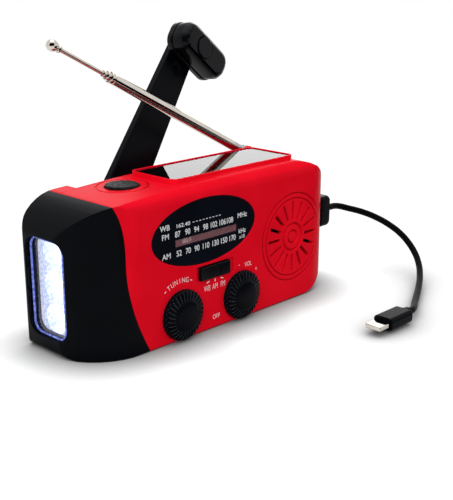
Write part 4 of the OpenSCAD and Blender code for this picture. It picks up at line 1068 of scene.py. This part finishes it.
@dataclass
class Case:
    """Red front shell and back cover, their screws, the sockets and the print on the front.

    Places and heights of the print are in millimetres, angles in degrees.
    """

    front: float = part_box("front_shell")[0].y
    stroke: float = -0.012
    knob_z: float = 10.3
    tuning_x: float = -24.1
    tuning_arc: float = 13.2
    tuning_span: Pair = (118.0, 77.0)
    tuning_tall: float = 1.9
    tuning_wide: float = 0.86
    end_mark: Pair = (0.9, 0.35)
    end_mark_gap: float = 1.1
    volume_x: float = 7.4
    volume_arc: float = 12.3
    volume_words: tuple[tuple[str, float], ...] = (("-", 93.0), ("VOL", 69.0), ("+", 43.0))
    volume_wide: float = 0.78
    off_place: Pair = (-6.0, 4.7)
    off_wide: float = 0.86
    small_tall: float = 1.8
    bands: tuple[tuple[str, float, int], ...] = (("WB", -10.8, 1), ("AM", -6.6, 0), ("FM", -2.4, -1))
    band_z: float = 17.1
    band_tall: float = 2.2
    band_wide: float = 0.66
    mark_z: float = 19.5
    mark_upright: Pair = (0.45, 1.0)
    mark_leaning: Pair = (1.55, 0.4)
    mark_lean: float = 18.0
    mark_shift: float = 0.5

    def build(self) -> None:
        """Dresses the shells and prints the front."""
        recast("front_shell", Finish.RED, edge=0.14 * MM)
        recast("rear_cover", Finish.RED, edge=0.2 * MM)
        recast("case_screws", Finish.STEEL, edge=0.12 * MM)
        recast("usb_socket", Finish.STEEL, edge=0.08 * MM)
        recast("charge_socket", Finish.STEEL, edge=0.08 * MM)
        self.build_print()

    def build_print(self) -> None:
        """Prints the words round the controls."""
        ink = Lettering("front_print", self.front, weight=self.stroke)
        self.print_tuning(ink, "TUNING")
        for text, x, side in self.bands:
            ink.word(text, x, self.band_z, self.band_tall, wide=self.band_wide)
            long, tall = self.mark_leaning if side else self.mark_upright
            ink.bar(x + self.mark_shift * side, self.mark_z, long, tall, self.mark_lean * side)
        ink.word("OFF", *self.off_place, self.small_tall, wide=self.off_wide)
        for text, angle in self.volume_words:
            x, z = self.round_knob(self.volume_x, self.volume_arc, angle)
            ink.word(text, x, z, self.small_tall, wide=self.volume_wide)
        ink.build(Slot.RED)

    def round_knob(self, knob_x: float, radius: float, angle: float) -> Pair:
        """Gives a place on a circle round a knob, at an angle from the right."""
        a = math.radians(angle)
        return (knob_x + radius * math.cos(a), self.knob_z + radius * math.sin(a))

    def print_tuning(self, ink: Lettering, text: str) -> None:
        """Prints a word round the tuning knob, with a mark at each end.

        Args:
            ink: The print that it goes on.
            text: The letters.
        """
        start, end = self.tuning_span
        step = (end - start) / (len(text) - 1)
        for k, letter in enumerate(text):
            angle = start + k * step
            x, z = self.round_knob(self.tuning_x, self.tuning_arc, angle)
            ink.word(letter, x, z, self.tuning_tall, angle - 90, self.tuning_wide)
        for angle in (start - self.end_mark_gap * step, end + self.end_mark_gap * step):
            x, z = self.round_knob(self.tuning_x, self.tuning_arc, angle)
            ink.bar(x, z, *self.end_mark, angle - 90)


@dataclass
class LampEnd:
    """Black cap with the lamp: lens and its bead, reflector bowls, diodes and their board."""

    lip_radius: float = 0.4 * MM
    lip_inset: float = 0.1 * MM
    lip_stand: float = 0.2 * MM
    lip_sides: int = 10
    corner: float = 4.0 * MM
    corner_steps: int = 8

    def build(self) -> None:
        """Dresses the lamp."""
        self.build_painted_glow_lip()
        recast("lamp_cap", Finish.BLACK, edge=0.25 * MM)
        recast("lamp_lens", Finish.LENS, edge=0.3 * MM)
        # the reflector's emission is painted reflected light from the diodes
        recast("lamp_reflector", Finish.BOWL, edge=0.1 * MM)
        recast("lamp_leds", Finish.LED, edge=0.1 * MM)
        keep("led_board", Finish.BOARD)

    def build_painted_glow_lip(self) -> None:
        """Makes the bead round the lens, whose blue emission is painted light from the lamp."""
        low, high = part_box("lamp_lens")
        inset = self.lip_inset + self.lip_radius + self.corner
        half_y, half_z = (high.y - low.y) / 2 - inset, (high.z - low.z) / 2 - inset
        middle = Vector((low.x - self.lip_stand, (low.y + high.y) / 2, (low.z + high.z) / 2))
        spokes = [2 * math.pi * n / self.lip_sides for n in range(self.lip_sides)]
        bm = bmesh.new()
        rings = []
        for quarter, (sign_y, sign_z) in enumerate(((1, 1), (-1, 1), (-1, -1), (1, -1))):
            centre = middle + Vector((0, sign_y * half_y, sign_z * half_z))
            for k in range(self.corner_steps + 1):
                a = math.pi / 2 * (quarter + k / self.corner_steps)
                out = Vector((0, math.cos(a), math.sin(a)))
                heart = centre + self.corner * out
                points = [out * math.cos(t) + Vector((math.sin(t), 0, 0)) for t in spokes]
                rings.append([bm.verts.new(heart + self.lip_radius * p) for p in points])
        join_rings(bm, rings, closed=True)
        fit(new_object("lamp_lens_painted_glow_lip", bm), "body", Finish.LIP)


@dataclass
class SolarPanel:
    """Solar cell under its clear cover."""

    def build(self) -> None:
        """Dresses the panel."""
        recast("solar_cell", Finish.SOLAR, edge=0.05 * MM)
        recast("solar_cover", Finish.SOLAR_GLASS, edge=0.2 * MM)


@dataclass
class Dial:
    """Oval dial with its scales, pane and pointer. Places and heights of the print are in millimetres."""

    face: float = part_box("dial_plate")[0].y
    wb_z: float = 44.4
    fm_z: float = 41.4
    am_z: float = 34.1
    bands: tuple[tuple[str, float, float], ...] = (
        ("WB", -31.5, 44.7), ("FM", -31.3, 41.4), ("AM", -30.9, 34.1)
    )
    band_tall: float = 2.0
    fm_marks: tuple[tuple[str, float], ...] = (
        ("87", -25.4), ("90", -20.4), ("94", -15.9), ("98", -11.3),
        ("102", -7.1), ("106", -2.5), ("108", 1.5),
    )
    am_marks: tuple[tuple[str, float], ...] = (
        ("52", -24.8), ("70", -20.2), ("90", -15.8), ("110", -11.3),
        ("130", -6.3), ("150", -1.7), ("170", 2.9),
    )
    mark_tall: float = 2.1
    mark_wide: float = 0.86
    wb_x: float = -22.7
    wb_tall: float = 1.4
    wb_wide: float = 1.3
    dashes: int = 9
    dash_start: float = -17.4
    dash_pitch: float = 1.7
    dash: Pair = (0.9, 0.28)
    unit_x: float = 8.4
    units: tuple[tuple[str, float, float], ...] = (
        ("MHz", 42.3, 1.9), ("kHz", 36.0, 1.7), ("x10", 33.6, 1.4)
    )

    def build(self) -> None:
        """Dresses the dial and prints its scales."""
        recast("dial_plate", Finish.DIAL, edge=0.2 * MM)
        recast("dial_window", Finish.DIAL_PANE, edge=0.1 * MM)
        recast("dial_pointer", Finish.POINTER, edge=0.1 * MM)
        keep("dial_cord", Finish.CORD)
        keep("cord_guides", Finish.PALE)
        self.build_print()

    def build_print(self) -> None:
        """Prints the three scales and their units."""
        ink = Lettering("dial_print", self.face)
        for text, x, z in self.bands:
            ink.word(text, x, z, self.band_tall)
        ink.word("162.40", self.wb_x, self.wb_z, self.wb_tall, wide=self.wb_wide)
        for k in range(self.dashes):
            ink.bar(self.dash_start + self.dash_pitch * k, self.wb_z, *self.dash)
        for marks, z in ((self.fm_marks, self.fm_z), (self.am_marks, self.am_z)):
            for text, x in marks:
                ink.word(text, x, z, self.mark_tall, wide=self.mark_wide)
        for text, z, tall in self.units:
            ink.word(text, self.unit_x, z, tall)
        ink.build(Slot.DIAL)


@dataclass
class Controls:
    """Tuning and volume knobs, band slider and lamp button. Sizes of a knob are in millimetres."""

    height: float = 3.8
    radius: float = 9.8
    wall_rises: Triple = (0.0, 0.6, 1.2)
    shoulder: Pair = (9.7, 1.5)
    ring_run: Pair = (3.5, 1.5)
    ring_steps: int = 12
    dome: tuple[Pair, ...] = (
        (6.0, 3.1), (5.8, 3.3), (5.4, 3.42), (4.4, 3.56), (3.0, 3.68), (1.6, 3.77), (0.4, 3.8)
    )
    ribs: int = 30
    rib_steps: int = 8
    rib_rise: float = 0.8
    rib_fade: float = 0.35
    rib_onset: float = 4
    swirl: float = 0.12
    scallop: float = 0.22
    shaft_radius: float = 2.9
    shaft_chamfer: float = 0.3

    def build(self) -> None:
        """Makes the knobs and dresses the slider and the button."""
        self.build_knob("tuning_knob", "tuning")
        self.build_knob("volume_knob", "volume")
        recast("band_slider", Finish.GLOSS, edge=0.3 * MM, steps=3)
        recast("lamp_button", Finish.BUTTON, edge=0.6 * MM, steps=4)
        keep("lamp_switch", Finish.BLACK)
        keep("band_switch", Finish.BLACK)

    def knob_profile(self) -> list[Triple]:
        """Runs up a knob's wall, over its ribbed ring and across its dome.

        Returns:
            Radius, rise and share of the way over the ring: 0 on the wall and 1 on the dome.
        """
        radius, rise = self.shoulder
        inward, upward = self.ring_run
        shares = [k / self.ring_steps for k in range(1, self.ring_steps + 1)]
        wall = [(self.radius, h, 0.0) for h in self.wall_rises] + [(radius, rise, 0.0)]
        ring = [(radius - inward * t, rise + upward * t, t) for t in shares]
        return wall + ring + [(r, h, 1.0) for r, h in self.dome]

    def build_knob(self, node: str, body: str) -> None:
        """Makes a knob with swirled ribs round a domed face, and its shaft.

        Args:
            node: The CAD knob that it stands for.
            body: The body that it rides on.
        """
        low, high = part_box(node)
        middle = (low + high) / 2
        foot = Vector((middle.x, low.y + self.height * MM, middle.z))
        count = self.ribs * self.rib_steps
        bm = bmesh.new()
        rings = []
        for radius, rise, share in self.knob_profile():
            rib = self.rib_rise * (1 - share) ** self.rib_fade * min(1.0, self.rib_onset * share)
            verts = []
            for k in range(count):
                a = 2 * math.pi * k / count
                groove = abs(math.sin(self.ribs / 2 * (a - self.swirl * share)))
                lift = rise + rib * (1 - groove)
                reach = radius - self.scallop * groove * (1 - share)
                spot = Vector((reach * math.cos(a), -lift, reach * math.sin(a)))
                verts.append(bm.verts.new(foot + spot * MM))
            rings.append(verts)
        join_rings(bm, rings)
        shaft_radius, chamfer, depth = self.shaft_radius * MM, self.shaft_chamfer * MM, high.y - foot.y
        profile = [(shaft_radius, 0), (shaft_radius, depth - chamfer), (shaft_radius - chamfer, depth)]
        shaft = lathe(profile, foot, Vector((0, 1, 0)))
        piece = new_object(f"{node}_skin", join_meshes([bm, shaft]))
        fit(piece, body, Finish.KNOB, [node])


@dataclass
class Speaker:
    """Speaker behind the grille."""

    def build(self) -> None:
        """Dresses the speaker."""
        keep("speaker_frame", Finish.STEEL)
        keep("speaker_cone", Finish.PAPER)
        keep("speaker_magnet", Finish.FERRITE)


@dataclass
class Crank:
    """Crank: hub on its axle, folding arm and turning grip."""

    def build(self) -> None:
        """Dresses the crank."""
        recast("crank_hub", Finish.BLACK, edge=0.4 * MM, steps=3)
        recast("hinge_pin", Finish.STEEL, edge=0.2 * MM)
        recast("crank_arm", Finish.BLACK, edge=0.5 * MM, steps=3)
        recast("grip_pin", Finish.GLOSS, edge=0.25 * MM)
        recast("grip_rear", Finish.GLOSS, edge=0.5 * MM, steps=3)
        recast("grip_front", Finish.GLOSS, edge=0.4 * MM, steps=3)
        keep("crank_axle", Finish.STEEL)


@dataclass
class Antenna:
    """Telescopic antenna: knuckle, three tubes with rolled ends and a rod with a ball.

    Sizes are in millimetres; starts and ends are measured along the antenna from its pivot.
    """

    pivot: Triple = (46.3, 16.4, 57.0)
    rise: float = 27.6
    tubes: tuple[tuple[str, str, float, float, float], ...] = (
        ("antenna_tube_1", "antenna", 2.3, 8.0, 81.2),
        ("antenna_tube_2", "antenna_stage_2", 1.85, 8.6, 82.9),
        ("antenna_tube_3", "antenna_stage_3", 1.4, 9.2, 84.6),
    )
    wall: float = 0.3
    skin_inset: float = 0.06
    bead: float = 1.5
    bead_neck: float = 0.12
    mouth_depth: float = 3.0
    rod_radius: float = 0.95
    rod_start: float = 58.6
    collar: float = 0.6
    ball_at: float = 108.85
    ball_radius: float = 2.25
    ball_length: float = 0.95
    ball_fullness: float = 0.8
    ball_steps: int = 20

    def turned(self, profile: Sequence[Pair]) -> Mesh:
        """Turns a profile about the antenna's line.

        Args:
            profile: Radius and distance from the pivot of each corner.

        Returns:
            The turned mesh.
        """
        a = math.radians(self.rise)
        along = Vector((-math.cos(a), 0, math.sin(a)))
        return lathe([(r * MM, s * MM) for r, s in profile], Vector(self.pivot) * MM, along)

    def build(self) -> None:
        """Makes the tubes and the rod and dresses the knuckle."""
        recast("antenna_base", Finish.STEEL, edge=0.4 * MM, steps=3)
        recast("antenna_screw", Finish.CHROME, edge=0.25 * MM)
        for node, body, radius, start, end in self.tubes:
            self.build_tube(node, body, radius, start, end)
        self.build_rod()

    def build_tube(self, node: str, body: str, radius: float, start: float, end: float) -> None:
        """Makes one tube with a rolled bead at its end.

        Args:
            node: The CAD tube that it stands for.
            body: The body that it rides on.
            radius: Outer radius.
            start: Where it starts.
            end: Where it ends.
        """
        skin, bore = radius - self.skin_inset, radius - self.wall
        neck, roll = skin - self.bead_neck, end - self.bead
        profile = [(bore - 0.1, start), (skin - 0.2, start), (skin, start + 0.25), (skin, roll - 0.45)]
        profile += [(neck, roll - 0.3), (neck, roll - 0.1), (skin + 0.02, roll + 0.05)]
        profile += [(radius, end - 0.9 * self.bead + 0.2), (radius, end - 0.35)]
        profile += [(radius - 0.1, end - 0.08), (radius - 0.2, end)]
        profile += [(bore, end), (bore, end - self.mouth_depth)]
        piece = new_object(f"{node}_skin", self.turned(profile))
        fit(piece, body, Finish.CHROME, [node])

    def build_rod(self) -> None:
        """Makes the tip rod with its neck ring and flattened ball."""
        r, at, ball, half = self.rod_radius, self.ball_at, self.ball_radius, self.ball_length
        neck, ring = at - ball, r + self.collar
        profile = [(r - 0.15, self.rod_start), (r, self.rod_start + 0.2), (r, neck - 1.4)]
        profile += [(r + 0.35, neck - 1.3), (ring, neck - 0.9), (ring, neck - 0.4)]
        profile += [(r + 0.3, neck - 0.1), (r + 0.25, at - 0.92 * ball)]
        for k in range(3, self.ball_steps):
            a = math.pi * k / self.ball_steps
            profile.append((ball * math.sin(a) ** self.ball_fullness, at - half * ball * math.cos(a)))
        profile.append((0.3, at + half * ball))
        piece = new_object("antenna_rod_skin", self.turned(profile))
        fit(piece, "antenna_tip", Finish.CHROME, ["antenna_rod"])


@dataclass
class Works:
    """Everything inside the case."""

    finishes: dict[str, Finish] = field(
        default_factory=lambda: {
            "main_board": Finish.BOARD,
            "usb_board": Finish.BOARD,
            "tuning_capacitor": Finish.PALE,
            "tuning_drum": Finish.PALE,
            "volume_pot": Finish.STEEL,
            "battery_cell": Finish.CELL,
            "battery_cradle": Finish.BLACK,
            "ferrite_rod": Finish.FERRITE,
            "ferrite_coil": Finish.WINDING,
            "ferrite_clips": Finish.BLACK,
            "gear_plate": Finish.STEEL,
            "generator_case": Finish.STEEL,
            "generator_rotor": Finish.BRASS,
            "idler_gear": Finish.BRASS,
            "drive_gear": Finish.BRASS,
        }
    )

    def build(self) -> None:
        """Gives each inner node its finish."""
        for node, finish in self.finishes.items():
            keep(node, finish)


def main() -> None:
    """Builds the camera, every sub-assembly of the radio in order, and the room round it."""
    logging.basicConfig(level=logging.INFO, format="%(message)s")
    studio = Studio()
    studio.build_camera()
    assemblies = (
        ChargingLead(), Case(), LampEnd(), SolarPanel(), Dial(),
        Controls(), Speaker(), Crank(), Antenna(), Works(),
    )
    for assembly in assemblies:
        assembly.build()
    studio.build()


if __name__ == "__main__":
    main()
